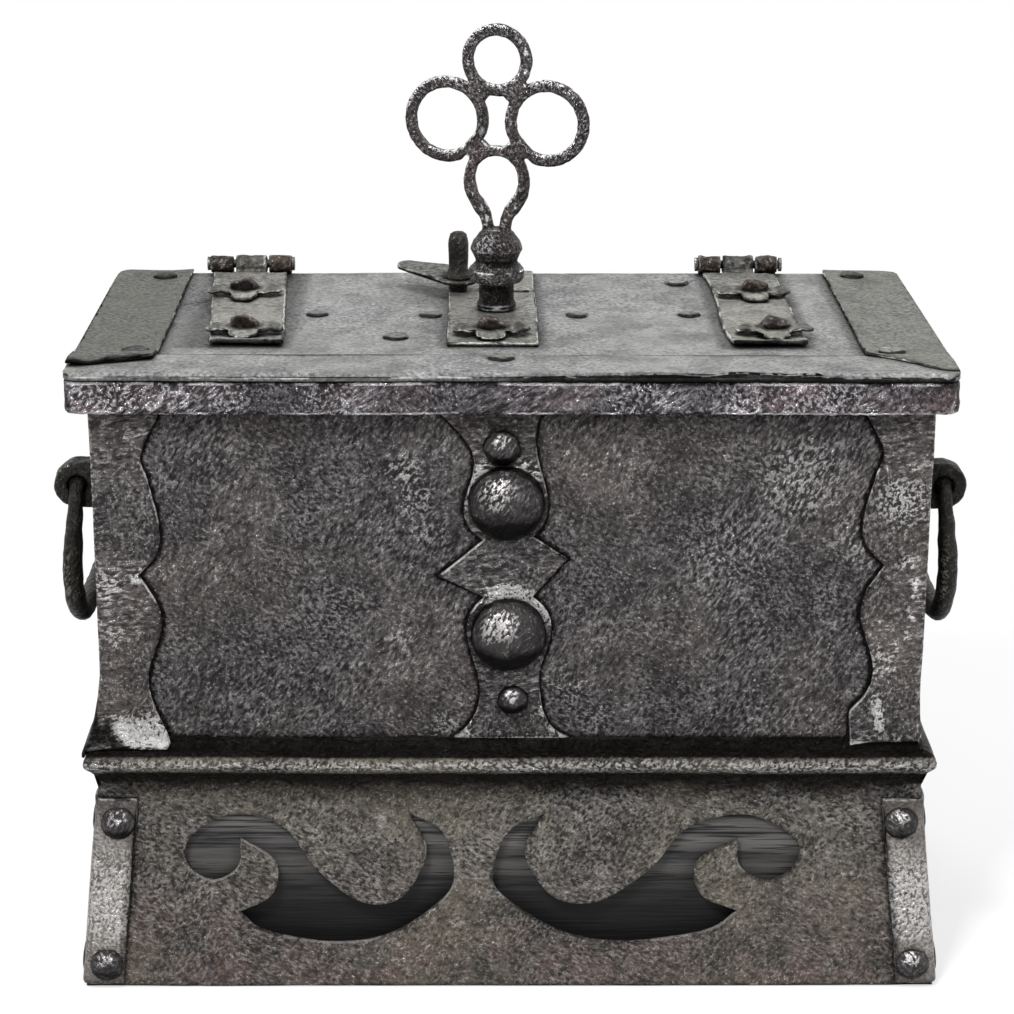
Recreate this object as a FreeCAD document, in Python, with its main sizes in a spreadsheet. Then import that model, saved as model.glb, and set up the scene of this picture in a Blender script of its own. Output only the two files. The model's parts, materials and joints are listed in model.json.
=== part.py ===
"""Iron-bound offertory box: a riveted iron casket on a timber plinth with a flared iron skirt.

The lid hinges at the back.  A lock under the lid throws two bolts sideways when its key is turned.
Millimetres, +Z up, front towards -Y, origin at the centre of the footprint.
"""
import FreeCAD, Part
import math
import os
from types import SimpleNamespace

from FreeCAD import Placement, Rotation
from FreeCAD import Vector as V

SIZES = {
    # box
    "box_width": 284.0,
    "box_depth": 134.0,
    "box_height": 126.0,
    "wall": 2.0,
    "floor_thick": 2.0,
    # plinth
    "plinth_height": 88.0,
    "deck_thick": 25.0,
    "board_thick": 15.0,
    # skirt
    "skirt_sheet": 1.5,
    "skirt_rise": 5.0,
    "cove_radius": 2.2,
    "ridge_radius": 3.8,
    "ridge_drop": 2.8,
    "ridge_turn": 50.0,
    "neck_offset": 3.0,
    "neck_low": 66.0,
    "apron_offset": 9.8,
    "mitre_gap": 0.25,
    "scroll_stretch": 1.138,
    "scroll_left_edge": -20.0,
    "scroll_right_edge": -5.7,
    # straps on the box and skirt
    "strap_thick": 1.2,
    "flank_strap_share": 0.8,
    "front_strap_middle": -2.0,
    "angle_width": 15.0,
    "angle_thick": 1.3,
    "angle_low": 1.5,
    "angle_high": 71.0,
    # lid
    "lid_overhang": 8.0,
    "lid_gap": 0.3,
    "lid_board": 10.2,
    "lid_sheet": 1.5,
    "rim_thick": 2.0,
    "lid_corner": 5.0,
    "end_plate_width": 29.0,
    "end_plate_thick": 1.2,
    "front_strip_depth": 25.0,
    "front_strip_thick": 1.0,
    # hinges
    "strap_setback": 39.0,
    "hinge_strap_thick": 1.8,
    "knuckle_radius": 3.6,
    "knuckle_width": 12.0,
    "hinge_width": 31.0,
    "hinge_seam": 0.4,
    "pin_radius": 1.6,
    "pin_clearance": 0.06,
    "leaf_thick": 1.4,
    "leaf_bend_drop": 2.0,
    "leaf_length": 36.0,
    # hinge middles, in from the sides of the box
    "left_hinge_middle": 43.0,
    "right_hinge_middle": 53.5,
    # front end of each strap on the lid, sideways from its hinge
    "left_strap_lean": 7.0,
    "left_strap_front": 26.0,
    "right_strap_lean": 4.5,
    "right_strap_front": 20.0,
    # lock
    "lock_middle": -5.0,
    "lock_back": 13.0,
    "lock_strap_width": 32.0,
    "lock_strap_shift": -1.5,
    "lock_strap_thick": 1.6,
    "lock_plate_width": 152.0,
    "lock_plate_thick": 2.0,
    "rotor_thick": 3.0,
    "rotor_hub_radius": 6.0,
    "rotor_foot_radius": 5.0,
    "rotor_clearance": 0.06,
    "slot_start": 9.5,
    "bolt_travel": 7.0,
    "key_turn": 90.0,
    "bolt_width": 10.0,
    "bolt_thick": 3.2,
    "bolt_pin_radius": 2.0,
    "bolt_play": 0.3,
    "bridge_width": 14.0,
    "strike_reach": 8.0,
    "strike_width": 18.0,
    "strike_drop": 24.0,
    "guide_length": 8.0,
    "guide_inset": 10.0,
    "guide_flange": 5.0,
    # coin slot and its cover
    "coin_slot_length": 18.5,
    "coin_slot_middle": -1.8,
    "coin_slot_width": 5.0,
    "coin_slot_back": 40.5,
    "cover_pivot": -19.0,
    "cover_reach": 28.5,
    "cover_lobe_radius": 8.0,
    "cover_tip_radius": 4.0,
    "cover_thick": 1.5,
    "cover_rest_angle": 142.0,
    "cover_pin_radius": 2.2,
    "post_radius": 3.5,
    "post_height": 3.5,
    "knob_radius": 3.75,
    "knob_height": 17.5,
    # key
    "key_shank_radius": 6.0,
    "key_collar_radius": 10.0,
    "key_bulb_radius": 9.5,
    "keyhole_clearance": 0.3,
    "key_square": 6.0,
    "socket_clearance": 0.1,
    "bow_rod_radius": 2.2,
    "bow_turn": 15.0,
    "side_ring_radius": 13.3,
    "side_ring_spread": 18.4,
    "side_ring_height": 70.0,
    "top_ring_radius": 10.7,
    "top_ring_height": 91.7,
    "low_ring_radius": 10.1,
    "low_ring_height": 47.5,
    "bow_leg_spread": 3.2,
    "bow_web_width": 5.4,
    "bow_web_thick": 3.6,
    "key_collar_rise": 12.0,
    # handles
    "handle_height": 90.5,
    "handle_span": 100.0,
    "handle_drop": 49.0,
    "handle_rod_radius": 3.25,
    "handle_corner": 14.0,
    "handle_clearance": 0.08,
    "handle_end": 1.5,
    "eye_stand": 9.2,
    "eye_radius": 8.2,
    "eye_width": 8.5,
    "eye_gap": 0.7,
    # fasteners
    "boss_radius": 13.2,
    "boss_height": 9.0,
    "front_rivet_radius": 5.6,
    "front_rivet_height": 4.0,
    "skirt_rivet_radius": 6.2,
    "skirt_rivet_height": 3.6,
    "nail_head_radius": 4.6,
    "nail_head_height": 0.8,
    "nail_shank_radius": 1.5,
    "nail_grip": 6.0,
    "leaf_rivet_radius": 3.45,
    "leaf_rivet_height": 1.4,
    "leaf_rivet_inset": 7.0,
    "rivet_shank_radius": 2.5,
    "rosette_thick": 1.2,
    "rosette_head_radius": 7.3,
    "rosette_head_height": 5.5,
    "rosette_petal_radius": 5.4,
    "rosette_petal_reach": 8.6,
    "rosette_petal_depth": 6.02,
}

doc = FreeCAD.newDocument("offertory_box")
sheet = doc.addObject("Spreadsheet::Sheet", "Sizes")
for row, (alias, value) in enumerate(SIZES.items(), start=1):
    sheet.set(f"A{row}", alias)
    sheet.set(f"B{row}", str(value))
    sheet.setAlias(f"B{row}", alias)
doc.recompute()
s = SimpleNamespace(**{alias: float(getattr(sheet, alias)) for alias in SIZES})

# Levels and half sizes that several pieces share.
half_width = s.box_width / 2
half_depth = s.box_depth / 2
box_top = s.plinth_height + s.box_height
lid_half_width = half_width + s.lid_overhang
lid_half_depth = half_depth + s.lid_overhang
board_low = box_top + s.lid_gap
sheet_low = board_low + s.lid_board
lid_top = sheet_low + s.lid_sheet
knuckle_gap = s.hinge_seam
axis_back = lid_half_depth + s.hinge_seam + s.leaf_thick - s.knuckle_radius
axis_height = lid_top + knuckle_gap + s.knuckle_radius
plate_low = board_low - s.lock_plate_thick
bolt_top = plate_low - s.bolt_play
bolt_low = bolt_top - s.bolt_thick
rotor_top = bolt_low - s.bolt_play
rotor_low = rotor_top - s.rotor_thick
bridge_top = rotor_low - s.bolt_play
bridge_low = bridge_top - s.lock_plate_thick
spiral_rise = s.bolt_travel / math.radians(s.key_turn)
rotor_radius = s.slot_start + s.bolt_travel + s.bolt_pin_radius + 1.7
strap_top = lid_top + s.lock_strap_thick
hinge_strap_top = lid_top + s.hinge_strap_thick
left_hinge = s.left_hinge_middle - half_width
right_hinge = half_width - s.right_hinge_middle
lid_strap_front = s.strap_setback - lid_half_depth
ridge_level = s.plinth_height - s.ridge_drop
skirt_top = s.plinth_height + s.skirt_rise

nodes = []


# ---------------------------------------------------------------- helpers


def node(feature, label):
    """Marks a document object as a finished piece that gets its own file."""
    feature.Label = label
    nodes.append(feature)
    return feature


def loop(points):
    """Closed outline of straight edges."""
    ends = [V(x, y, 0) for x, y in points]
    return [Part.LineSegment(a, b) for a, b in zip(ends, ends[1:] + ends[:1])]


def rectangle(x_low, x_high, y_low, y_high):
    return loop([(x_low, y_low), (x_high, y_low), (x_high, y_high), (x_low, y_high)])


def circle(x, y, radius):
    return [Part.Circle(V(x, y, 0), V(0, 0, 1), radius)]


def arc(start, middle, end):
    return Part.Arc(V(*start, 0), V(*middle, 0), V(*end, 0))


def line(start, end):
    return Part.LineSegment(V(*start, 0), V(*end, 0))


def polar(centre, radius, degrees):
    turn = math.radians(degrees)
    return centre[0] + radius * math.cos(turn), centre[1] + radius * math.sin(turn)


def turned(centre, radius, start, end):
    """Arc about a centre between two angles in degrees."""
    return arc(*(polar(centre, radius, a) for a in (start, (start + end) / 2, end)))


def smooth(points):
    """Curve through a few points."""
    curve = Part.BSplineCurve()
    curve.interpolate([V(x, y, 0) for x, y in points])
    return curve


def rounded_rectangle(half_x, half_y, radius):
    edges = []
    corners = [(half_x, half_y, 0), (-half_x, half_y, 90), (-half_x, -half_y, 180), (half_x, -half_y, 270)]
    centres = [(x - math.copysign(radius, x), y - math.copysign(radius, y), a) for x, y, a in corners]
    for (x, y, start), (x_next, y_next, _) in zip(centres, centres[1:] + centres[:1]):
        edges.append(turned((x, y), radius, start, start + 90))
        edges.append(line(polar((x, y), radius, start + 90), polar((x_next, y_next), radius, start + 90)))
    return edges


def new_body(name):
    return doc.addObject("PartDesign::Body", name)


def new_sketch(body, plane, offset, outline):
    """Sketch on one of the body's origin planes, moved along that plane's normal.

    The normals are +Z for XY, -Y for XZ and +X for YZ.
    """
    sketch = body.newObject("Sketcher::SketchObject", body.Name + "_sketch")
    origin_plane = next(f for f in body.Origin.OriginFeatures if f.Role == plane + "_Plane")
    sketch.AttachmentSupport = [(origin_plane, "")]
    sketch.MapMode = "FlatFace"
    sketch.AttachmentOffset = Placement(V(0, 0, offset), Rotation())
    sketch.addGeometry(outline, False)
    return sketch


def pad(body, plane, offset, outline, length, flip=False):
    """Adds material from a sketch; length is an expression or a number."""
    feature = body.newObject("PartDesign::Pad", body.Name + "_pad")
    feature.Profile = new_sketch(body, plane, offset, outline)
    feature.setExpression("Length", str(length))
    feature.Reversed = flip
    return feature


def pocket(body, plane, offset, outline, length, flip=False):
    """Removes material below a sketch, or above it when flipped."""
    feature = body.newObject("PartDesign::Pocket", body.Name + "_pocket")
    feature.Profile = new_sketch(body, plane, offset, outline)
    feature.setExpression("Length", str(length))
    feature.Reversed = flip
    return feature


def block(name, x, y, z):
    """Part::Box between two expressions on each axis."""
    box = doc.addObject("Part::Box", name)
    for (low, high), side, axis in zip((x, y, z), ("Length", "Width", "Height"), "xyz"):
        box.setExpression(side, f"({high}) - ({low})")
        box.setExpression(f"Placement.Base.{axis}", str(low))
    return box


def rod(name, radius, start, end):
    """Part::Cylinder between two points."""
    cylinder = doc.addObject("Part::Cylinder", name)
    cylinder.Radius = radius
    cylinder.Height = (end - start).Length
    cylinder.Placement = Placement(start, Rotation(V(0, 0, 1), end - start))
    return cylinder


def grouped(name, pieces):
    """Identical pieces that share one file and stay separate solids."""
    group = doc.addObject("Part::Compound", name)
    group.Links = pieces
    return group


def cut(name, base, tool):
    feature = doc.addObject("Part::Cut", name)
    feature.Base = base
    feature.Tool = tool
    return feature


def shaped(name, shape):
    feature = doc.addObject("Part::Feature", name)
    feature.Shape = shape
    return feature


def bores(name, radius, spans):
    """Round holes for fasteners, as a group of cylinders between pairs of points."""
    return grouped(name, [rod(f"{name}_{i}", radius, a, b) for i, (a, b) in enumerate(spans)])


def wall_placement(side):
    """Turns a piece built as seen from outside the front wall to another wall."""
    distance = {"front": half_depth, "back": half_depth, "left": half_width, "right": half_width}[side]
    turn = Rotation(V(0, 0, 1), {"front": 0, "right": 90, "back": 180, "left": 270}[side])
    return Placement(turn.multVec(V(0, -distance, 0)), turn)


def dome(head_radius, head_height, shank_radius, shank_length, lip=0.6):
    """Fastener about +Z: a domed head above Z=0 with a rim, and its shank below."""
    rise = head_height - lip
    ball = (head_radius ** 2 + rise ** 2) / (2 * rise)
    middle = head_height - ball
    lean = math.asin((lip - middle) / ball)
    halfway = (lean + math.pi / 2) / 2
    crown = V(ball * math.cos(halfway), 0, middle + ball * math.sin(halfway))
    corners = [(0, -shank_length), (shank_radius, -shank_length), (shank_radius, 0), (head_radius, 0)]
    corners = [V(r, 0, z) for r, z in corners + [(head_radius, lip)]]
    top = V(0, 0, head_height)
    edges = [Part.LineSegment(a, b) for a, b in zip(corners, corners[1:])]
    edges += [Part.Arc(corners[-1], crown, top), Part.LineSegment(top, corners[0])]
    profile = Part.Face(Part.Wire([e.toShape() for e in edges]))
    return profile.revolve(V(0, 0, 0), V(0, 0, 1), 360)


def set_at(shape, point, outward):
    """Copy of a fastener with its head's seat at a point and its head pointing outward."""
    copy = shape.copy()
    copy.Placement = Placement(point, Rotation(V(0, 0, 1), outward))
    return copy


# ---------------------------------------------------------------- timber plinth

frame_half_width = half_width + s.neck_offset - s.skirt_sheet
frame_half_depth = half_depth + s.neck_offset - s.skirt_sheet
HALF_X = "(Sizes.box_width / 2 + Sizes.neck_offset - Sizes.skirt_sheet)"
HALF_Y = "(Sizes.box_depth / 2 + Sizes.neck_offset - Sizes.skirt_sheet)"
DECK_LOW = "Sizes.plinth_height - Sizes.deck_thick"
BOARD = "Sizes.board_thick"


def plinth():
    across = (f"-{HALF_X}", HALF_X)
    node(block("deck", across, (f"-{HALF_Y}", HALF_Y), (DECK_LOW, "Sizes.plinth_height")), "plinth_deck")
    height = ("0", DECK_LOW)
    node(block("board_f", across, (f"-{HALF_Y}", f"-{HALF_Y} + {BOARD}"), height), "plinth_front_board")
    node(block("board_b", across, (f"{HALF_Y} - {BOARD}", HALF_Y), height), "plinth_back_board")
    between = (f"-{HALF_Y} + {BOARD}", f"{HALF_Y} - {BOARD}")
    node(block("board_l", (f"-{HALF_X}", f"-{HALF_X} + {BOARD}"), between, height), "plinth_left_board")
    node(block("board_r", (f"{HALF_X} - {BOARD}", HALF_X), between, height), "plinth_right_board")


# ---------------------------------------------------------------- iron box

# Rivets through the front strap: sideways from the strap's middle, height above the box floor.
BIG_BOSSES = [(0.0, 91.5), (1.0, 44.0)]
SMALL_RIVETS = [(-1.5, 111.3), (2.5, 19.5)]
eye_level = s.plinth_height + s.handle_height
eye_tail_radius = s.rivet_shank_radius
eye_middles = [sign * (s.handle_span / 2 - s.handle_rod_radius - s.eye_gap - s.eye_width / 2) for sign in (-1, 1)]
leaf_rivet_side = s.hinge_width / 2 - 6
bend_top = box_top - s.leaf_bend_drop
leaf_top = bend_top - s.lid_overhang - s.hinge_seam


def wall_plate(label, side, half_length, holes):
    body = new_body(label)
    outline = rectangle(-half_length, half_length, s.plinth_height, box_top)
    for x, z, radius in holes:
        outline += circle(x, z, radius)
    pad(body, "XZ", -s.wall, outline, "Sizes.wall")
    body.Placement = wall_placement(side)
    node(body, label)


def front_rivet_places(places):
    return [(s.front_strap_middle + x, s.plinth_height + z) for x, z in places]


def leaf_rivet_places():
    """Seen from behind, where sideways is mirrored."""
    places = []
    inset = s.leaf_rivet_inset
    for middle in (left_hinge, right_hinge):
        for side in (-leaf_rivet_side, leaf_rivet_side):
            places += [(-(middle + side), leaf_top - drop) for drop in (inset, s.leaf_length - inset)]
    return places


def iron_box():
    front_holes = [(x, z, s.rivet_shank_radius) for x, z in front_rivet_places(BIG_BOSSES + SMALL_RIVETS)]
    wall_plate("front_plate", "front", half_width, front_holes)
    back_holes = [(x, z, s.nail_shank_radius) for x, z in leaf_rivet_places()]
    wall_plate("back_plate", "back", half_width, back_holes)
    eye_holes = [(x, eye_level, eye_tail_radius) for x in eye_middles]
    wall_plate("left_plate", "left", half_depth - s.wall, eye_holes)
    wall_plate("right_plate", "right", half_depth - s.wall, eye_holes)
    inside = "(Sizes.box_{0} / 2 - Sizes.wall)"
    x, y = inside.format("width"), inside.format("depth")
    floor_z = ("Sizes.plinth_height", "Sizes.plinth_height + Sizes.floor_thick")
    node(block("floor", (f"-{x}", x), (f"-{y}", y), floor_z), "floor_plate")


# Half-strap edge: distance in from the corner and share of the strap's height, from the top to the
# cusp at its middle and on to the foot.
UPPER_WAVE = [(25.5, 1.0), (17.5, 0.86), (19.5, 0.78), (23.0, 0.64), (21.5, 0.56), (15.2, 0.50)]
LOWER_WAVE = [(15.2, 0.50), (21.0, 0.42), (22.5, 0.34), (17.5, 0.20), (18.5, 0.11), (24.0, 0.0)]


def wavy_leaf(corner, overhang, inward, wide):
    """Outline of one leaf of a corner strap; inward is the way in from the corner, +1 or -1."""
    low, height = skirt_top, box_top - skirt_top
    waves = (UPPER_WAVE, LOWER_WAVE)
    upper, lower = ([(corner + inward * wide * d, low + height * z) for d, z in wave] for wave in waves)
    edge = corner - inward * overhang
    return [
        line((edge, low), (edge, box_top)),
        line((edge, box_top), upper[0]),
        smooth(upper),
        smooth(lower),
        line(lower[-1], (edge, low)),
    ]


def corner_strap(label, side_x, side_y):
    """L of two wavy leaves round one vertical corner of the box."""
    body = new_body(label)
    corner_x, corner_y = side_x * half_width, side_y * half_depth
    face = wavy_leaf(corner_x, s.strap_thick, -side_x, 1.0)
    pad(body, "XZ", -corner_y, face, "Sizes.strap_thick", flip=side_y > 0)
    flank = wavy_leaf(corner_y, 0, -side_y, s.flank_strap_share)
    pad(body, "YZ", corner_x, flank, "Sizes.strap_thick", flip=side_x < 0)
    node(body, label)


# Edges of the front strap: sideways from its middle and height above the box floor.
STRAP_LEFT = [
    [(-25.0, 126.0), (-15.5, 116.0), (-11.0, 108.0), (-14.2, 92.0), (-8.0, 78.0)],
    [(-8.0, 78.0), (-23.5, 65.0)],
    [(-23.5, 65.0), (-7.5, 57.5)],
    [(-7.5, 57.5), (-13.6, 44.0), (-9.8, 29.0), (-9.2, 19.0), (-12.5, 10.5), (-18.5, 5.0)],
]
STRAP_RIGHT = [
    [(22.5, 5.0), (14.0, 13.0), (12.2, 21.0), (12.0, 30.0), (15.8, 44.0), (9.5, 57.5)],
    [(9.5, 57.5), (21.5, 71.5)],
    [(21.5, 71.5), (9.5, 79.5)],
    [(9.5, 79.5), (14.4, 92.0), (10.5, 108.0), (10.0, 116.0), (12.5, 126.0)],
]


def front_strap():
    body = new_body("front_strap")

    def placed(run):
        return [(s.front_strap_middle + x, s.plinth_height + z) for x, z in run]

    left = [placed(run) for run in STRAP_LEFT]
    right = [placed(run) for run in STRAP_RIGHT]
    outline = [smooth(run) if len(run) > 2 else line(*run) for run in left + right]
    outline += [line(left[-1][-1], right[0][0]), line(right[-1][-1], left[0][0])]
    for x, z in front_rivet_places(BIG_BOSSES + SMALL_RIVETS):
        outline += circle(x, z, s.rivet_shank_radius)
    pad(body, "XZ", half_depth, outline, "Sizes.strap_thick")
    node(body, "front_strap")


def front_fasteners():
    grip = s.strap_thick + s.wall
    big = dome(s.boss_radius, s.boss_height, s.rivet_shank_radius, grip)
    small = dome(s.front_rivet_radius, s.front_rivet_height, s.rivet_shank_radius, grip)
    seat = -half_depth - s.strap_thick
    for label, shape, places in (("front_bosses", big, BIG_BOSSES), ("front_rivets", small, SMALL_RIVETS)):
        heads = [set_at(shape, V(x, seat, z), V(0, -1, 0)) for x, z in front_rivet_places(places)]
        node(shaped(label, Part.makeCompound(heads)), label)


# ---------------------------------------------------------------- skirt


def apron_offset_at(height, lift=0.0):
    """How far the apron's outer face, or a face lifted off it, stands out from the wall."""
    slope = (s.apron_offset - s.neck_offset) / s.neck_low
    return s.apron_offset - slope * height + lift * math.hypot(1, slope)


def skirt_profile():
    """Section of the bent sheet: x is minus the distance out from the wall, y is height."""
    t = s.skirt_sheet
    turn = math.radians(s.ridge_turn)
    ridge_out = t + s.cove_radius
    cove_level = ridge_level + s.ridge_radius + s.cove_radius
    cove = (-(ridge_out), cove_level)
    ridge = (-(ridge_out), ridge_level)
    reach = ridge_out + s.ridge_radius * math.cos(turn) - s.neck_offset
    throat_radius = reach / (1 - math.cos(turn))
    throat_level = ridge_level - (s.ridge_radius + throat_radius) * math.sin(turn)
    throat = (-(s.neck_offset + throat_radius), throat_level)
    tilt = math.atan2(s.apron_offset - s.neck_offset, s.neck_low)
    inner_neck = s.neck_offset - t
    bend = (-inner_neck, s.neck_low - t * math.tan(tilt / 2))
    inner_foot = (-(s.apron_offset - t / math.cos(tilt)), 0)
    turn_deg = s.ridge_turn
    outer = [
        line((-t, skirt_top), (-t, cove_level)),
        turned(cove, s.cove_radius, 0, -90),
        turned(ridge, s.ridge_radius, 90, 180 + turn_deg),
        turned(throat, throat_radius, turn_deg, 0),
        line((-s.neck_offset, throat_level), (-s.neck_offset, s.neck_low)),
        line((-s.neck_offset, s.neck_low), (-s.apron_offset, 0)),
    ]
    inner = [
        line((-s.apron_offset, 0), inner_foot),
        line(inner_foot, bend),
        line(bend, (-inner_neck, throat_level)),
        turned(throat, throat_radius + t, 0, turn_deg),
        turned(ridge, s.ridge_radius - t, 180 + turn_deg, 90),
        turned(cove, s.cove_radius + t, -90, 0),
        line((0, cove_level), (0, skirt_top)),
        line((0, skirt_top), (-t, skirt_top)),
    ]
    return outer + inner


# Scroll cut-out of the apron: sideways from its tall end and height.  The first run is its lower
# edge, the second its upper edge round the bulb, the third the hollow of its tongue.
SCROLL_LOW = [
    (-76.1, 28.1), (-66.5, 20.9), (-42.5, 16.8), (-22.0, 20.2), (-3.3, 33.4), (0.0, 43.5), (-4.6, 58.0), (-15.5, 64.5),
]
SCROLL_HIGH = [
    (-15.5, 64.5), (-9.6, 50.0), (-18.3, 33.6), (-32.3, 31.5), (-48.6, 43.9), (-60.4, 59.6),
    (-79.0, 64.2), (-94.0, 55.0), (-94.0, 45.0), (-85.5, 40.0), (-76.8, 45.0), (-75.8, 55.5),
]
SCROLL_TONGUE = [(-75.8, 55.5), (-63.2, 47.0), (-64.6, 34.5), (-76.1, 28.1)]


def scroll(edge, stretch):
    """Outline of one scroll; a negative stretch mirrors it."""
    runs = [[(edge + stretch * x, z) for x, z in run] for run in (SCROLL_LOW, SCROLL_HIGH, SCROLL_TONGUE)]
    return [smooth(run) for run in runs]


def skirt_side(label, side, half_length, holes, scrolls=()):
    body = new_body(label + "_body")
    reach = half_length + s.apron_offset
    pad(body, "YZ", -reach, skirt_profile(), 2 * reach)
    inset = s.mitre_gap
    past = s.apron_offset + 5
    for sign in (-1, 1):
        near = (sign * (half_length - inset), 0)
        far = (sign * (half_length - inset + past), -past)
        outside = [near, far, (sign * (reach + past), -past), (sign * (reach + past), 1), (near[0], 1)]
        pocket(body, "XY", 0, loop(outside), "Sizes.plinth_height + Sizes.skirt_rise + 1", flip=True)
    for outline in scrolls:
        pocket(body, "XZ", past, outline, past)
    body.Placement = wall_placement(side)
    node(cut(label + "_cut", body, holes), label)


def skirt_angle(label, side_x, side_y, holes):
    """L of two strips along one flared corner of the skirt."""

    def section(height, swap):
        level = min(height, s.neck_low)
        base, out = apron_offset_at(level), apron_offset_at(level, s.angle_thick)
        along, away = (half_depth, half_width) if swap else (half_width, half_depth)
        start = along + base - s.angle_width
        corners = [
            (start, away + base),
            (along + base, away + base),
            (along + out, away + out),
            (start, away + out),
        ]
        if swap:
            corners = [(y, x) for x, y in corners]
        points = [V(side_x * x, side_y * y, height) for x, y in corners]
        return Part.makePolygon(points + points[:1])

    levels = (s.angle_low, s.neck_low, s.angle_high)
    strips = [Part.makeLoft([section(z, swap) for z in levels], True, True) for swap in (False, True)]
    shape = strips[0].fuse(strips[1]).removeSplitter()
    node(cut(label, shaped(label + "_blank", shape), holes), label)


def skirt_rivet_seats():
    """Seat and outward direction of the rivets through the skirt's corner angles."""
    tilt = math.atan2(s.apron_offset - s.neck_offset, s.neck_low)
    inset = s.angle_width / 2
    seats = []
    for height in (s.angle_low + inset, s.neck_low - s.skirt_rivet_radius - 0.3):
        out, base = apron_offset_at(height, s.angle_thick), apron_offset_at(height)
        for sign_x in (-1, 1):
            for sign_y in (-1, 1):
                on_front = V(sign_x * (half_width + base - inset), sign_y * (half_depth + out), height)
                on_flank = V(sign_x * (half_width + out), sign_y * (half_depth + base - inset), height)
                seats.append((on_front, V(0, sign_y * math.cos(tilt), math.sin(tilt))))
                seats.append((on_flank, V(sign_x * math.cos(tilt), 0, math.sin(tilt))))
    return seats


def skirt():
    grip = s.angle_thick + s.skirt_sheet
    seats = skirt_rivet_seats()
    holes = bores("skirt_rivet_hole", s.nail_shank_radius, [(p - d * (grip + 1), p + d) for p, d in seats])
    head = dome(s.skirt_rivet_radius, s.skirt_rivet_height, s.nail_shank_radius, grip, 0.4)
    rivets = shaped("skirt_rivets", Part.makeCompound([set_at(head, p, d) for p, d in seats]))
    scrolls = [scroll(s.scroll_left_edge, 1.0), scroll(s.scroll_right_edge, -s.scroll_stretch)]
    skirt_side("front_skirt", "front", half_width, holes, scrolls)
    skirt_side("back_skirt", "back", half_width, holes)
    skirt_side("left_skirt", "left", half_depth, holes)
    skirt_side("right_skirt", "right", half_depth, holes)
    for side_y, end in ((-1, "front"), (1, "back")):
        for side_x, hand in ((-1, "left"), (1, "right")):
            skirt_angle(f"{end}_{hand}_skirt_angle", side_x, side_y, holes)
    node(rivets, "skirt_rivets")


# ---------------------------------------------------------------- hinges

HINGES = {
    "left": (left_hinge, left_hinge + s.left_strap_lean, s.left_strap_front / 2),
    "right": (right_hinge, right_hinge + s.right_strap_lean, s.right_strap_front / 2),
}


def hinge_leaf(label, middle):
    """Fixed leaf: riveted to the back plate, stepped out behind the lid and rolled at the top."""
    body = new_body(label)
    outer = axis_back + s.knuckle_radius
    inner = outer - s.leaf_thick
    seat = half_depth
    face = seat + s.leaf_thick
    neck_top = axis_height - s.knuckle_radius - 1
    slip = s.leaf_thick * math.tan(math.radians(22.5))
    outline = [
        (inner, neck_top),
        (inner, bend_top),
        (seat, bend_top - (inner - seat)),
        (seat, bend_top - (inner - seat) - s.leaf_length),
        (face, bend_top - (inner - seat) - s.leaf_length),
        (face, bend_top - (inner - seat) - slip),
        (outer, bend_top - slip),
        (outer, neck_top),
    ]
    start = middle - s.hinge_width / 2
    pad(body, "YZ", start, loop(outline), "Sizes.hinge_width")
    side_width = (s.hinge_width - s.knuckle_width) / 2 - s.hinge_seam
    for x in (start, middle + s.hinge_width / 2 - side_width):
        pad(body, "YZ", x, rectangle(inner, outer, neck_top - 1, axis_height), side_width)
        roll = circle(axis_back, axis_height, s.knuckle_radius) + circle(axis_back, axis_height, s.pin_radius)
        pad(body, "YZ", x, roll, side_width)
    return body


def hinge_strap(label, middle, front_middle, front_half):
    """Moving strap: lies along the lid and rolls round the hinge pin between the leaf's knuckles."""
    body = new_body(label)
    front = lid_strap_front
    back = axis_back - s.knuckle_radius - s.hinge_seam
    half = s.hinge_width / 2 - 1.5
    outline = loop([
        (front_middle - front_half, front),
        (front_middle + front_half, front),
        (middle + half, back),
        (middle - half, back),
    ])
    pad(body, "XY", lid_top, outline, "Sizes.hinge_strap_thick")
    half_tongue = s.knuckle_width / 2
    tongue = rectangle(middle - half_tongue, middle + half_tongue, back - 1, axis_back)
    pad(body, "XY", lid_top, tongue, "Sizes.hinge_strap_thick")
    roll = circle(axis_back, axis_height, s.knuckle_radius)
    roll += circle(axis_back, axis_height, s.pin_radius + s.pin_clearance)
    pad(body, "YZ", middle - half_tongue, roll, "Sizes.knuckle_width")
    return body


def hinge_pin(middle):
    half = s.hinge_width / 2
    head = 1.2
    centre = V(middle, axis_back, axis_height)
    along = V(1, 0, 0)
    shape = Part.makeCylinder(s.pin_radius, 2 * half, centre - along * half, along)
    for end in (-half - head, half):
        shape = shape.fuse(Part.makeCylinder(s.pin_radius + 1, head, centre + along * end, along))
    return shape.removeSplitter()


def leaf_rivet_seats():
    seat = half_depth + s.leaf_thick
    return [V(-x, seat, z) for x, z in leaf_rivet_places()]


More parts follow.
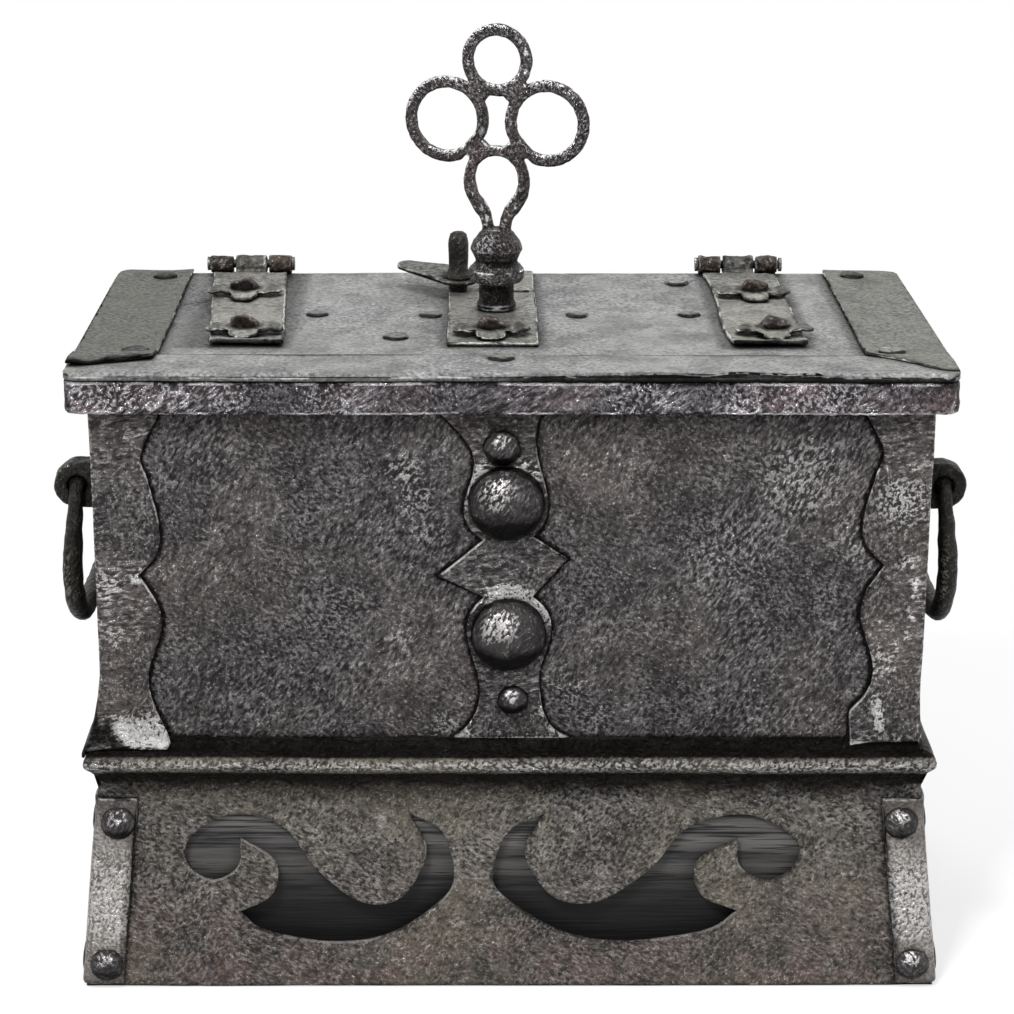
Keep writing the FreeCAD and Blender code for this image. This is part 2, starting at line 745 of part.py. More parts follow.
def hinges(nail_holes):
    grip = s.leaf_thick + s.wall
    out = V(0, 1, 0)
    seats = leaf_rivet_seats()
    spans = [(p - out * (grip + 1), p + out) for p in seats]
    leaf_holes = bores("leaf_rivet_hole", s.nail_shank_radius, spans)
    for hand, (middle, front_middle, front_half) in HINGES.items():
        leaf = hinge_leaf(f"{hand}_leaf_body", middle)
        node(cut(f"{hand}_leaf_cut", leaf, leaf_holes), f"{hand}_hinge_leaf")
        strap = hinge_strap(f"{hand}_strap_body", middle, front_middle, front_half)
        node(cut(f"{hand}_strap_cut", strap, nail_holes), f"{hand}_hinge_strap")
    pins = [hinge_pin(middle) for middle, _, _ in HINGES.values()]
    node(shaped("hinge_pins", Part.makeCompound(pins)), "hinge_pins")
    head = dome(s.leaf_rivet_radius, s.leaf_rivet_height, s.nail_shank_radius, grip, 0.3)
    heads = [set_at(head, p, out) for p in seats]
    node(shaped("leaf_rivets", Part.makeCompound(heads)), "leaf_rivets")


# ---------------------------------------------------------------- lid

board_half_width = lid_half_width - s.rim_thick
board_half_depth = lid_half_depth - s.rim_thick
strip_back = s.front_strip_depth - lid_half_depth
plate_top = lid_top + s.end_plate_thick

# Nails (x, y): on the end plates from their corners, on the front strip, and on the bare sheet
# beside the lock strap and behind the right hinge strap.
PLATE_NAILS = [
    (21.0 - lid_half_width, strip_back + 4.0),
    (19.0 - lid_half_width, lid_half_depth - 12.0),
    (lid_half_width - 19.5, strip_back + 4.0),
    (lid_half_width - 18.5, lid_half_depth - 9.0),
]
STRIP_NAILS = [(s.lock_middle + 1.2, strip_back - 5.0)]
SHEET_NAILS = [(s.lock_middle - 35.6, lid_strap_front + 13.3), (right_hinge - 24.5, lid_half_depth - 17.0)]
# Rivets of the lock plate, sideways from the lock.
LOCK_RIVETS = [(-65.0, -3.0), (-24.0, -5.0), (29.0, -5.0), (70.0, -3.0)]
# Rosettes on the straps, one near the front of each and one behind it on the hinge straps.
HINGE_ROSETTES = [
    (left_hinge + 5.5, lid_strap_front + 13.0),
    (left_hinge + 1.0, lid_half_depth - 43.0),
    (right_hinge + 4.0, lid_strap_front + 13.0),
    (right_hinge + 2.0, lid_half_depth - 43.0),
]
LOCK_ROSETTES = [(s.lock_middle - 2.0, lid_strap_front + 12.0)]


def nail_places():
    """Every fastener through the lid's top: x, y and the level of its seat."""
    places = [(x, y, plate_top) for x, y in PLATE_NAILS]
    places += [(x, y, lid_top + s.front_strip_thick) for x, y in STRIP_NAILS]
    places += [(x, y, lid_top) for x, y in SHEET_NAILS]
    return places


def lock_rivet_places():
    return [(s.lock_middle + x, s.lock_back + y, lid_top) for x, y in LOCK_RIVETS]


def rosette_places():
    places = [(x, y, hinge_strap_top) for x, y in HINGE_ROSETTES]
    places += [(x, y, strap_top) for x, y in LOCK_ROSETTES]
    return places


def lid_nail_holes():
    low = sheet_low - s.nail_grip
    high = hinge_strap_top + s.rosette_thick + 1
    spans = [(V(x, y, low), V(x, y, high)) for x, y, _ in nail_places() + rosette_places()]
    through = [(V(x, y, plate_low), V(x, y, high)) for x, y, _ in lock_rivet_places()]
    return bores("lid_nail_hole", s.nail_shank_radius, spans + through)


def lock_openings(outline):
    """Adds the keyhole, the coin slot and the cover's pin hole to a lid outline."""
    hole = circle(s.lock_middle, s.lock_back, s.key_shank_radius + s.keyhole_clearance)
    half_long, half_wide = s.coin_slot_length / 2, s.coin_slot_width / 2
    x, y = s.coin_slot_middle, s.coin_slot_back
    slot = rectangle(x - half_long, x + half_long, y - half_wide, y + half_wide)
    pin = circle(s.cover_pivot, s.coin_slot_back, s.cover_pin_radius + s.pin_clearance)
    return outline + hole + slot + pin


def lid(nail_holes):
    board = new_body("board_body")
    outline = rounded_rectangle(board_half_width, board_half_depth, s.lid_corner - s.rim_thick)
    pad(board, "XY", board_low, lock_openings(outline), "Sizes.lid_board")
    node(cut("board_cut", board, nail_holes), "lid_board")

    rim = new_body("rim_band")
    outer = rounded_rectangle(lid_half_width, lid_half_depth, s.lid_corner)
    inner = rounded_rectangle(board_half_width, board_half_depth, s.lid_corner - s.rim_thick)
    pad(rim, "XY", board_low, outer + inner, "Sizes.lid_board")
    node(rim, "rim_band")

    top = new_body("sheet_body")
    pad(top, "XY", sheet_low, lock_openings(outer), "Sizes.lid_sheet")
    node(cut("sheet_cut", top, nail_holes), "lid_sheet")

    radius = s.lid_corner
    for hand, side in (("left", -1), ("right", 1)):
        body = new_body(f"{hand}_end_body")
        edge, inside = side * lid_half_width, side * (lid_half_width - s.end_plate_width)
        corner = (edge - side * radius, lid_half_depth - radius)
        outline = [
            line((inside, strip_back), (edge, strip_back)),
            line((edge, strip_back), (edge, corner[1])),
            turned(corner, radius, 0, 90) if side > 0 else turned(corner, radius, 180, 90),
            line((corner[0], lid_half_depth), (inside, lid_half_depth)),
            line((inside, lid_half_depth), (inside, strip_back)),
        ]
        pad(body, "XY", lid_top, outline, "Sizes.end_plate_thick")
        node(cut(f"{hand}_end_cut", body, nail_holes), f"{hand}_end_plate")

    strip = new_body("strip_body")
    edge, low = lid_half_width, -lid_half_depth
    outline = [
        line((-edge, strip_back), (-edge, low + radius)),
        turned((radius - edge, low + radius), radius, 180, 270),
        line((radius - edge, low), (edge - radius, low)),
        turned((edge - radius, low + radius), radius, 270, 360),
        line((edge, low + radius), (edge, strip_back)),
        line((edge, strip_back), (-edge, strip_back)),
    ]
    pad(strip, "XY", lid_top, outline, "Sizes.front_strip_thick")
    node(cut("strip_cut", strip, nail_holes), "front_edge_strip")

    strap = new_body("lock_strap_body")
    x, half = s.lock_middle + s.lock_strap_shift, s.lock_strap_width / 2
    front, back = lid_strap_front, lid_half_depth - s.rim_thick
    outline = rectangle(x - half, x + half, front, back)
    pad(strap, "XY", lid_top, lock_openings(outline), "Sizes.lock_strap_thick")
    node(cut("lock_strap_cut", strap, nail_holes), "lock_strap")


def lid_fasteners():
    up = V(0, 0, 1)
    for label, places, tip in (
        ("lid_nails", nail_places(), sheet_low - s.nail_grip),
        ("lock_rivets", lock_rivet_places(), plate_low),
    ):
        heads = []
        for x, y, seat in places:
            nail = dome(s.nail_head_radius, s.nail_head_height, s.nail_shank_radius, seat - tip, 0.3)
            heads.append(set_at(nail, V(x, y, seat), up))
        node(shaped(label, Part.makeCompound(heads)), label)

    reach, depth = s.rosette_petal_reach, s.rosette_petal_depth
    washer = Part.makeCylinder(s.rosette_head_radius + 0.6, s.rosette_thick)
    for x, y in ((reach, 0), (-reach, 0), (0, depth), (0, -depth)):
        petal = Part.makeCylinder(s.rosette_petal_radius, s.rosette_thick, V(x, y, 0))
        washer = washer.fuse(petal)
    washer = washer.removeSplitter().cut(Part.makeCylinder(s.nail_shank_radius, s.rosette_thick))
    washers, heads = [], []
    for x, y, seat in rosette_places():
        washers.append(set_at(washer, V(x, y, seat), up))
        shank = seat + s.rosette_thick - sheet_low + s.nail_grip
        head = dome(s.rosette_head_radius, s.rosette_head_height, s.nail_shank_radius, shank, 1.2)
        heads.append(set_at(head, V(x, y, seat + s.rosette_thick), up))
    node(shaped("strap_rosettes", Part.makeCompound(washers)), "strap_rosettes")
    node(shaped("rosette_rivets", Part.makeCompound(heads)), "rosette_rivets")


# ---------------------------------------------------------------- lock


def square(x, y, side):
    return rectangle(x - side / 2, x + side / 2, y - side / 2, y + side / 2)


def spiral_slot(start_angle):
    """Slot whose middle line moves out evenly as the rotor turns."""
    half = s.bolt_pin_radius + s.bolt_play / 2
    centre = (s.lock_middle, s.lock_back)
    overrun = 2.0
    steps = 6
    first, last = -overrun, s.key_turn + overrun
    inner, outer = [], []
    for i in range(steps + 1):
        degrees = first + (last - first) * i / steps
        reach = s.slot_start + spiral_rise * math.radians(degrees)
        heading = start_angle - degrees
        lean = math.degrees(math.atan2(spiral_rise, reach))
        middle = polar(centre, reach, heading)
        outer.append(polar(middle, half, heading + lean))
        inner.append(polar(middle, half, heading + lean + 180))
    ends = []
    for i, away in ((0, 90), (-1, -90)):
        degrees = first if i == 0 else last
        reach = s.slot_start + spiral_rise * math.radians(degrees)
        lean = math.degrees(math.atan2(spiral_rise, reach))
        heading = start_angle - degrees
        tip = polar(polar(centre, reach, heading), half, heading + lean + away)
        ends.append(arc(inner[i], tip, outer[i]))
    return [smooth(outer), smooth(inner)] + ends


def lock(nail_holes):
    x, y = s.lock_middle, s.lock_back
    plate_half = s.lock_plate_width / 2
    plate_half_depth = rotor_radius + 3
    plate = new_body("lock_plate_body")
    outline = rectangle(x - plate_half, x + plate_half, y - plate_half_depth, y + plate_half_depth)
    outline += circle(x, y, s.rotor_hub_radius + s.rotor_clearance)
    pad(plate, "XY", plate_low, outline, "Sizes.lock_plate_thick")
    node(cut("lock_plate_cut", plate, nail_holes), "lock_plate")

    bridge = new_body("lock_bridge")
    half = s.bridge_width / 2
    outline = rectangle(x - half, x + half, y - plate_half_depth + 0.4, y + plate_half_depth - 0.4)
    foot_hole = circle(x, y, s.rotor_foot_radius + s.rotor_clearance)
    pad(bridge, "XY", bridge_low, outline + foot_hole, "Sizes.lock_plate_thick")
    for side in (-1, 1):
        far = y + side * (plate_half_depth - 0.4)
        near = far - side * s.lock_plate_thick
        leg = rectangle(x - half, x + half, min(near, far), max(near, far))
        pad(bridge, "XY", bridge_low, leg, plate_low - bridge_low)
    node(bridge, "lock_bridge")

    rotor = new_body("lock_rotor")
    socket = square(x, y, s.key_square + s.socket_clearance)
    disc = circle(x, y, rotor_radius) + socket + spiral_slot(0) + spiral_slot(180)
    pad(rotor, "XY", rotor_low, disc, "Sizes.rotor_thick")
    hub_top = board_low - s.bolt_play
    pad(rotor, "XY", rotor_top, circle(x, y, s.rotor_hub_radius) + socket, hub_top - rotor_top)
    foot_low = bridge_low - 1
    pad(rotor, "XY", foot_low, circle(x, y, s.rotor_foot_radius) + socket, rotor_low - foot_low)
    node(rotor, "lock_rotor")

    bolt_end = half_width - s.wall - s.strike_reach - 1.5
    for hand, side in (("left", -1), ("right", 1)):
        body = new_body(f"{hand}_bolt")
        near, far = x + side * (s.rotor_hub_radius + 1), side * bolt_end
        bar = rectangle(min(near, far), max(near, far), y - s.bolt_width / 2, y + s.bolt_width / 2)
        pad(body, "XY", bolt_low, bar, "Sizes.bolt_thick")
        pin = circle(x + side * s.slot_start, y, s.bolt_pin_radius)
        pin_low = rotor_low + s.bolt_play
        pad(body, "XY", pin_low, pin, bolt_low - pin_low)
        node(body, f"{hand}_bolt")

    guides = []
    guide_half = s.guide_length / 2
    for hand, side in (("left", -1), ("right", 1)):
        body = new_body(f"{hand}_guide")
        middle = x + side * (plate_half - s.guide_inset)
        channel = s.bolt_width / 2 + s.bolt_play
        lower, upper = bolt_low - s.bolt_play, plate_low
        base = lower - s.lock_plate_thick
        outside = channel + s.guide_flange
        outline = loop([
            (y - outside, base), (y + outside, base), (y + outside, upper), (y + channel, upper),
            (y + channel, lower), (y - channel, lower), (y - channel, upper), (y - outside, upper),
        ])
        pad(body, "YZ", middle - guide_half, outline, "Sizes.guide_length")
        guides.append(body)
    node(grouped("guides", guides), "bolt_guides")

    strikes = []
    lip_top = box_top - 0.2
    for hand, side in (("left", -1), ("right", 1)):
        body = new_body(f"{hand}_strike")
        wall_face = side * (half_width - s.wall)
        leg, tip = wall_face - side * s.wall, wall_face - side * (s.strike_reach + s.wall - 1.2)
        lip_low = bolt_top + s.bolt_play
        outline = loop([
            (wall_face, lip_top - s.strike_drop), (wall_face, lip_top), (tip, lip_top),
            (tip, lip_low), (leg, lip_low), (leg, lip_top - s.strike_drop),
        ])
        pad(body, "XZ", -(y + s.strike_width / 2), outline, "Sizes.strike_width")
        strikes.append(body)
    node(grouped("strikes", strikes), "bolt_strikes")


# ---------------------------------------------------------------- key


def swept(edges, radius, start, heading):
    """Round rod along a path."""
    path = Part.Wire([e.toShape() for e in edges])
    section = Part.Wire([Part.Circle(start, heading, radius).toShape()])
    return path.makePipeShell([section], True, False)


def bow_web(start, end):
    """Short flat bar between two points of the bow."""
    along = end - start
    half = s.bow_web_width / 2
    web = Part.makeBox(along.Length, s.bow_web_thick, s.bow_web_width, V(0, -s.bow_web_thick / 2, -half))
    web.Placement = Placement(start, Rotation(V(0, 1, 0), -math.degrees(math.atan2(along.z, along.x))))
    return web


def key_bow():
    """Trefoil of rings in the XZ plane, heights from the lid's top."""
    r = s.bow_rod_radius
    facing = V(0, -1, 0)
    side, height = s.side_ring_spread, s.side_ring_height
    parts = [Part.makeTorus(s.side_ring_radius, r, V(x, 0, height), facing) for x in (-side, side)]
    parts.append(Part.makeTorus(s.top_ring_radius, r, V(0, 0, s.top_ring_height), facing))
    loop_radius, loop_height = s.low_ring_radius, s.low_ring_height
    leg, foot = s.bow_leg_spread, 31.0
    turn_radius = 7.3
    away = leg + turn_radius
    bend = loop_height - math.sqrt((loop_radius + turn_radius) ** 2 - away ** 2)
    lean = math.degrees(math.atan2(loop_height - bend, away))

    def point(centre_x, centre_z, radius, degrees):
        u, v = polar((centre_x, centre_z), radius, degrees)
        return V(u, 0, v)

    def bow_arc(centre_x, centre_z, radius, start, end):
        return Part.Arc(*(point(centre_x, centre_z, radius, a) for a in (start, (start + end) / 2, end)))

    path = [
        Part.LineSegment(V(-leg, 0, foot), V(-leg, 0, bend)),
        bow_arc(-away, bend, turn_radius, 0, lean),
        bow_arc(0, loop_height, loop_radius, 180 + lean, 90),
        bow_arc(0, loop_height, loop_radius, 90, -lean),
        bow_arc(away, bend, turn_radius, 180 - lean, 180),
        Part.LineSegment(V(leg, 0, bend), V(leg, 0, foot)),
    ]
    parts.append(swept(path, r, V(-leg, 0, foot), V(0, 0, 1)))
    # Webs that join the side rings to the rings above and below.
    webs = (((10.6, height + 13.7), (3.8, height + 8.0)), ((10.5, height - 14.4), (3.9, height - 9.2)))
    for x_sign in (-1, 1):
        for (x1, z1), (x2, z2) in webs:
            parts.append(bow_web(V(x_sign * x1, 0, z1), V(x_sign * x2, 0, z2)))
    return parts


def key():
    flange_low = strap_top + s.bolt_play
    tang_top = board_low + s.bolt_play
    tang_low = bridge_low - 1
    shank, collar, bulb = s.key_shank_radius, s.key_collar_radius, s.key_bulb_radius
    collar_low = lid_top + s.key_collar_rise
    bulb_low = collar_low + 8
    profile = [
        (0, tang_top), (shank, tang_top), (shank, flange_low), (shank + 1.1, flange_low),
        (shank + 1.1, flange_low + 2), (shank + 0.3, flange_low + 2.6), (shank + 0.3, collar_low),
        (collar - 0.8, collar_low), (collar, collar_low + 1.8), (collar, collar_low + 4.5),
        (collar - 1.6, collar_low + 6.2), (shank + 1.4, collar_low + 7.2), (bulb - 1.6, bulb_low + 0.8),
        (bulb, bulb_low + 4.5), (bulb - 0.9, bulb_low + 8.5), (bulb - 3.2, bulb_low + 11.8),
        (shank - 1.5, bulb_low + 13.5), (0, bulb_low + 14),
    ]
    points = [V(r, 0, z) for r, z in profile]
    face = Part.Face(Part.makePolygon(points + points[:1]))
    shape = face.revolve(V(0, 0, 0), V(0, 0, 1), 360)
    half = s.key_square / 2
    tang = Part.makeBox(2 * half, 2 * half, tang_top + 1 - tang_low, V(-half, -half, tang_low))
    bow = key_bow()
    for piece in bow:
        piece.translate(V(0, 0, lid_top))
    bow = bow[0].multiFuse(bow[1:])
    bow.rotate(V(0, 0, 0), V(0, 0, 1), -s.bow_turn)
    shape = shape.fuse([tang, bow]).removeSplitter()
    feature = shaped("key", shape)
    feature.Placement = Placement(V(s.lock_middle, s.lock_back, 0), Rotation())
    node(feature, "key")


# ---------------------------------------------------------------- coin slot cover


def slot_cover():
    x, y = s.cover_pivot, s.coin_slot_back
    post_top = strap_top + s.post_height
    post = new_body("cover_post")
    hole = circle(x, y, s.cover_pin_radius + s.pin_clearance)
    pad(post, "XY", strap_top, circle(x, y, s.post_radius) + hole, "Sizes.post_height")
    node(post, "cover_post")

    leaf = new_body("slot_cover")
    big, small = s.cover_lobe_radius, s.cover_tip_radius
    span = s.cover_reach - small
    lean = math.degrees(math.acos((big - small) / span))
    ends = [polar((0, 0), big, lean), polar((span, 0), small, lean)]
    outline = [
        turned((0, 0), big, lean, 180),
        turned((0, 0), big, 180, 360 - lean),
        line((ends[0][0], -ends[0][1]), (ends[1][0], -ends[1][1])),
        turned((span, 0), small, -lean, lean),
        line(ends[1], ends[0]),
    ]
    pad(leaf, "XY", post_top, outline + circle(0, 0, s.cover_pin_radius), "Sizes.cover_thick")
    leaf.Placement = Placement(V(x, y, 0), Rotation(V(0, 0, 1), s.cover_rest_angle))
    node(leaf, "slot_cover")

    knob = new_body("cover_knob")
    knob_low = post_top + s.cover_thick
    pin_low = board_low + 2
    pad(knob, "XY", pin_low, circle(x, y, s.cover_pin_radius), knob_low - pin_low)
    pad(knob, "XY", knob_low, circle(x, y, s.knob_radius), "Sizes.knob_height")
    node(knob, "cover_knob")


# ---------------------------------------------------------------- handles


def handle_eye(name, side, middle):
    """Eye forged from a bar: wide ring, flat back on the wall and a tail clenched inside."""
    body = new_body(name)
    wall_face = side * half_width
    pivot = side * (half_width + s.eye_stand)
    level, radius = eye_level, s.eye_radius
    outline = [
        line((wall_face, level - radius), (pivot, level - radius)),
        turned((pivot, level), radius, 270, 450) if side > 0 else turned((pivot, level), radius, 270, 90),
        line((pivot, level + radius), (wall_face, level + radius)),
        line((wall_face, level + radius), (wall_face, level - radius)),
    ]
    outline += circle(pivot, level, s.handle_rod_radius + s.handle_clearance)
    pad(body, "XZ", -(middle + s.eye_width / 2), outline, "Sizes.eye_width")
    inward = side > 0
    pad(body, "YZ", wall_face, circle(middle, level, eye_tail_radius), "Sizes.wall", flip=inward)
    inside = wall_face - side * s.wall
    pad(body, "YZ", inside, circle(middle, level, eye_tail_radius + 2), "Sizes.wall", flip=inward)
    return body


def handle(label, side):
    """Drop handle bent from round bar; its ends turn in through the eyes."""
    half = s.handle_span / 2
    bend, corner = s.handle_rod_radius + 0.75, s.handle_corner
    end = abs(eye_middles[0]) - s.eye_width / 2 - s.handle_end
    drop = s.handle_drop

    def at(y, z):
        return V(0, y, z)

    def bar_arc(centre_y, centre_z, radius, start, finish):
        spots = [polar((centre_y, centre_z), radius, a) for a in (start, (start + finish) / 2, finish)]
        return Part.Arc(*(at(u, v) for u, v in spots))

    path = [
        Part.LineSegment(at(-end, 0), at(bend - half, 0)),
        bar_arc(bend - half, -bend, bend, 90, 180),
        Part.LineSegment(at(-half, -bend), at(-half, corner - drop)),
        bar_arc(corner - half, corner - drop, corner, 180, 270),
        Part.LineSegment(at(corner - half, -drop), at(half - corner, -drop)),
        bar_arc(half - corner, corner - drop, corner, 270, 360),
        Part.LineSegment(at(half, corner - drop), at(half, -bend)),
        bar_arc(half - bend, -bend, bend, 0, 90),
        Part.LineSegment(at(half - bend, 0), at(end, 0)),
    ]
    shape = swept(path, s.handle_rod_radius, at(-end, 0), V(0, 1, 0))
    feature = shaped(label, shape)
    feature.Placement = Placement(V(side * (half_width + s.eye_stand), 0, eye_level), Rotation())
    node(feature, label)


def handles():
    for hand, side in (("left", -1), ("right", 1)):
        eyes = [handle_eye(f"{hand}_eye_{i}", side, y) for i, y in enumerate(eye_middles)]
        node(grouped(f"{hand}_eyes", eyes), f"{hand}_handle_eyes")
        handle(f"{hand}_handle", side)


# ---------------------------------------------------------------- build

plinth()
iron_box()
for end_y, end_name in ((-1, "front"), (1, "back")):
    for end_x, hand_name in ((-1, "left"), (1, "right")):
        corner_strap(f"{end_name}_{hand_name}_corner_strap", end_x, end_y)
front_strap()
front_fasteners()
skirt()
lid_holes = lid_nail_holes()
hinges(lid_holes)
lid(lid_holes)
lid_fasteners()
lock(lid_holes)
key()
slot_cover()
handles()

doc.recompute()
for item in doc.Objects:
    if "Invalid" in item.State or "Error" in item.State:
        raise RuntimeError(f"{item.Label} failed: {item.State}")
os.makedirs("parts", exist_ok=True)
for item in nodes:
    solid = item.Shape
    if solid.isNull() or not solid.isValid() or solid.Volume <= 0:
        raise RuntimeError(f"{item.Label} has no sound shape")
    print(f"{item.Label:28s} {len(solid.Solids)} solids {solid.Volume:12.1f} mm3")
    solid.exportStep(f"parts/{item.Label}.step")
print(len(nodes), "nodes")
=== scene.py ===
"""Iron-bound offertory box: forged surfaces, old timber and a studio view.

Sheets are cut again from the outlines of their CAD nodes, forged pieces are remeshed from
them, and hidden pieces only get softer edges. Lengths are mm; meshes and lamps use metres.
"""
import functools
import json
import math

import bmesh
import bpy
import numpy as np
from mathutils import Euler, Matrix, Vector, noise
from mathutils.geometry import delaunay_2d_cdt

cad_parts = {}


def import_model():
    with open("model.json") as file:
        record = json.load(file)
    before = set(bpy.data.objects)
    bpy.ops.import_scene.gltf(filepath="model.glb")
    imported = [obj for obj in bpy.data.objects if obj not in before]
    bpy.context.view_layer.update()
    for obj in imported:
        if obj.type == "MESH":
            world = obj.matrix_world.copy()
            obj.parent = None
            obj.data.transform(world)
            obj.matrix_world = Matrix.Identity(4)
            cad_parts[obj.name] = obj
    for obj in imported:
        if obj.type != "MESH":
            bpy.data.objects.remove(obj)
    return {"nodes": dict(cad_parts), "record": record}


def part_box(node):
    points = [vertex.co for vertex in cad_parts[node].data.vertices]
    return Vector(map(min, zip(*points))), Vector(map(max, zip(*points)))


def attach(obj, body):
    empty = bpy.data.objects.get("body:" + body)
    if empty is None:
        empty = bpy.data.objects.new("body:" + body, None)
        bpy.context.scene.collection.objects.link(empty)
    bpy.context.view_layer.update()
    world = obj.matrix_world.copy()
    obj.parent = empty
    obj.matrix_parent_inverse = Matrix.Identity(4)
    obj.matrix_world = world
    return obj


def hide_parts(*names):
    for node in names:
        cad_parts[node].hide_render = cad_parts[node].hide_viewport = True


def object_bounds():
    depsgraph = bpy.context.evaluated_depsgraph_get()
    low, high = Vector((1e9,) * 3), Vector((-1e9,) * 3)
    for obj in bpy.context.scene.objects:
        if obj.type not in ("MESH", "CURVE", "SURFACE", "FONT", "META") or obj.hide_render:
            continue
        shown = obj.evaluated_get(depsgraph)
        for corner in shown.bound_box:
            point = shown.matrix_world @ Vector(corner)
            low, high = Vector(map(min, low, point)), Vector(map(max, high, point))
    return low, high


MM = 0.001
X, Y, Z = range(3)
noise.seed_set(1)  # noise_vector follows the clock unless it is seeded

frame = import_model()
cad_low, cad_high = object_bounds()
nodes = frame["nodes"]
behaviour = frame["record"]["behaviour"]
body_of = {node: body for body, members in behaviour["bodies"].items() for node in members}
pivot_of = {j["name"]: [c / MM for c in j["pos_m"]] for j in behaviour["joints"] if "pos_m" in j}


def box_of(node):
    """Low and high corner of a CAD node."""
    return [[c / MM for c in corner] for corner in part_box(node)]


# The levels and half sizes that the sheet work follows, from the solids.
HALF_WIDTH, HALF_DEPTH = box_of("front_plate")[1][X], -box_of("front_plate")[0][Y]
BOX_FOOT = box_of("front_plate")[0][Z]
LID_FRONT, LID_SIDE = box_of("lid_sheet")[0][Y], box_of("lid_sheet")[1][X]
STRIP_BACK = box_of("front_edge_strip")[1][Y]
END_WIDTH = 29.0
STRAP_THICK = 1.2


# ---------------------------------------------------------------- shader graphs


class Graph:
    """Small wrapper that builds the nodes of a material or a world."""

    def __init__(self, owner):
        self.owner = owner
        owner.use_nodes = True
        self.tree = owner.node_tree
        self.tree.nodes.clear()

    @functools.cached_property
    def place(self):
        return self.add("TexCoord").outputs["Object"]

    def add(self, kind, inputs=None, **settings):
        made = self.tree.nodes.new("ShaderNode" + kind)
        for key, value in settings.items():
            setattr(made, key, value)
        for key, value in (inputs or {}).items():
            if isinstance(value, bpy.types.NodeSocket):
                self.tree.links.new(value, made.inputs[key])
            else:
                made.inputs[key].default_value = value
        return made

    def spread(self, scale=(1, 1, 1), shift=(0, 0, 0), turn=(0, 0, 0), kind="POINT"):
        inputs = {"Vector": self.place, "Scale": scale, "Location": shift, "Rotation": turn}
        return self.add("Mapping", inputs, vector_type=kind).outputs[0]

    def noise(self, scale, detail, rough, vector, twist=0.0):
        inputs = {"Vector": vector, "Scale": scale, "Detail": detail, "Roughness": rough, "Distortion": twist}
        return self.add("TexNoise", inputs).outputs["Fac"]

    def ramp(self, value, low, high, to_low=0.0, to_high=1.0):
        inputs = {"Value": value, "From Min": low, "From Max": high, "To Min": to_low, "To Max": to_high}
        return self.add("MapRange", inputs, clamp=True).outputs[0]

    def math(self, kind, a, b=0.0):
        return self.add("Math", {0: a, 1: b}, operation=kind).outputs[0]

    def times(self, *values):
        return functools.reduce(functools.partial(self.math, "MULTIPLY"), values)

    def most(self, *values):
        return functools.reduce(functools.partial(self.math, "MAXIMUM"), values)

    def away_from(self, value, level):
        return self.math("ABSOLUTE", self.math("SUBTRACT", value, level))

    def mix(self, factor, a, b):
        """Mix of two colours."""
        a, b = (v if isinstance(v, bpy.types.NodeSocket) else (*v, 1) for v in (a, b))
        return self.add("Mix", {0: factor, 6: a, 7: b}, data_type="RGBA").outputs[2]

    def blended(self, factor, a, b):
        """Mix of two plain values."""
        return self.add("Mix", {0: factor, 2: a, 3: b}).outputs[0]

    def attribute(self, name):
        return self.add("Attribute", attribute_name=name).outputs["Fac"]

    def height(self):
        return self.add("SeparateXYZ", {0: self.place}).outputs[Z]

    def bump(self, height, distance, strength=1.0, normal=None):
        inputs = {"Height": height, "Distance": distance, "Strength": strength}
        if normal:
            inputs["Normal"] = normal
        return self.add("Bump", inputs).outputs[0]

    def end(self, shader, kind="Material"):
        self.add("Output" + kind, {0: shader})
        return self.owner

    def surface(self, **inputs):
        return self.end(self.add("BsdfPrincipled", {k.replace("_", " "): v for k, v in inputs.items()}).outputs[0])


# Near black of dirt and of painted shade.
DIRT_AND_SHADE_BLACK = (0.0045, 0.004, 0.0038)
SEAM = (0.006, 0.0055, 0.0055)


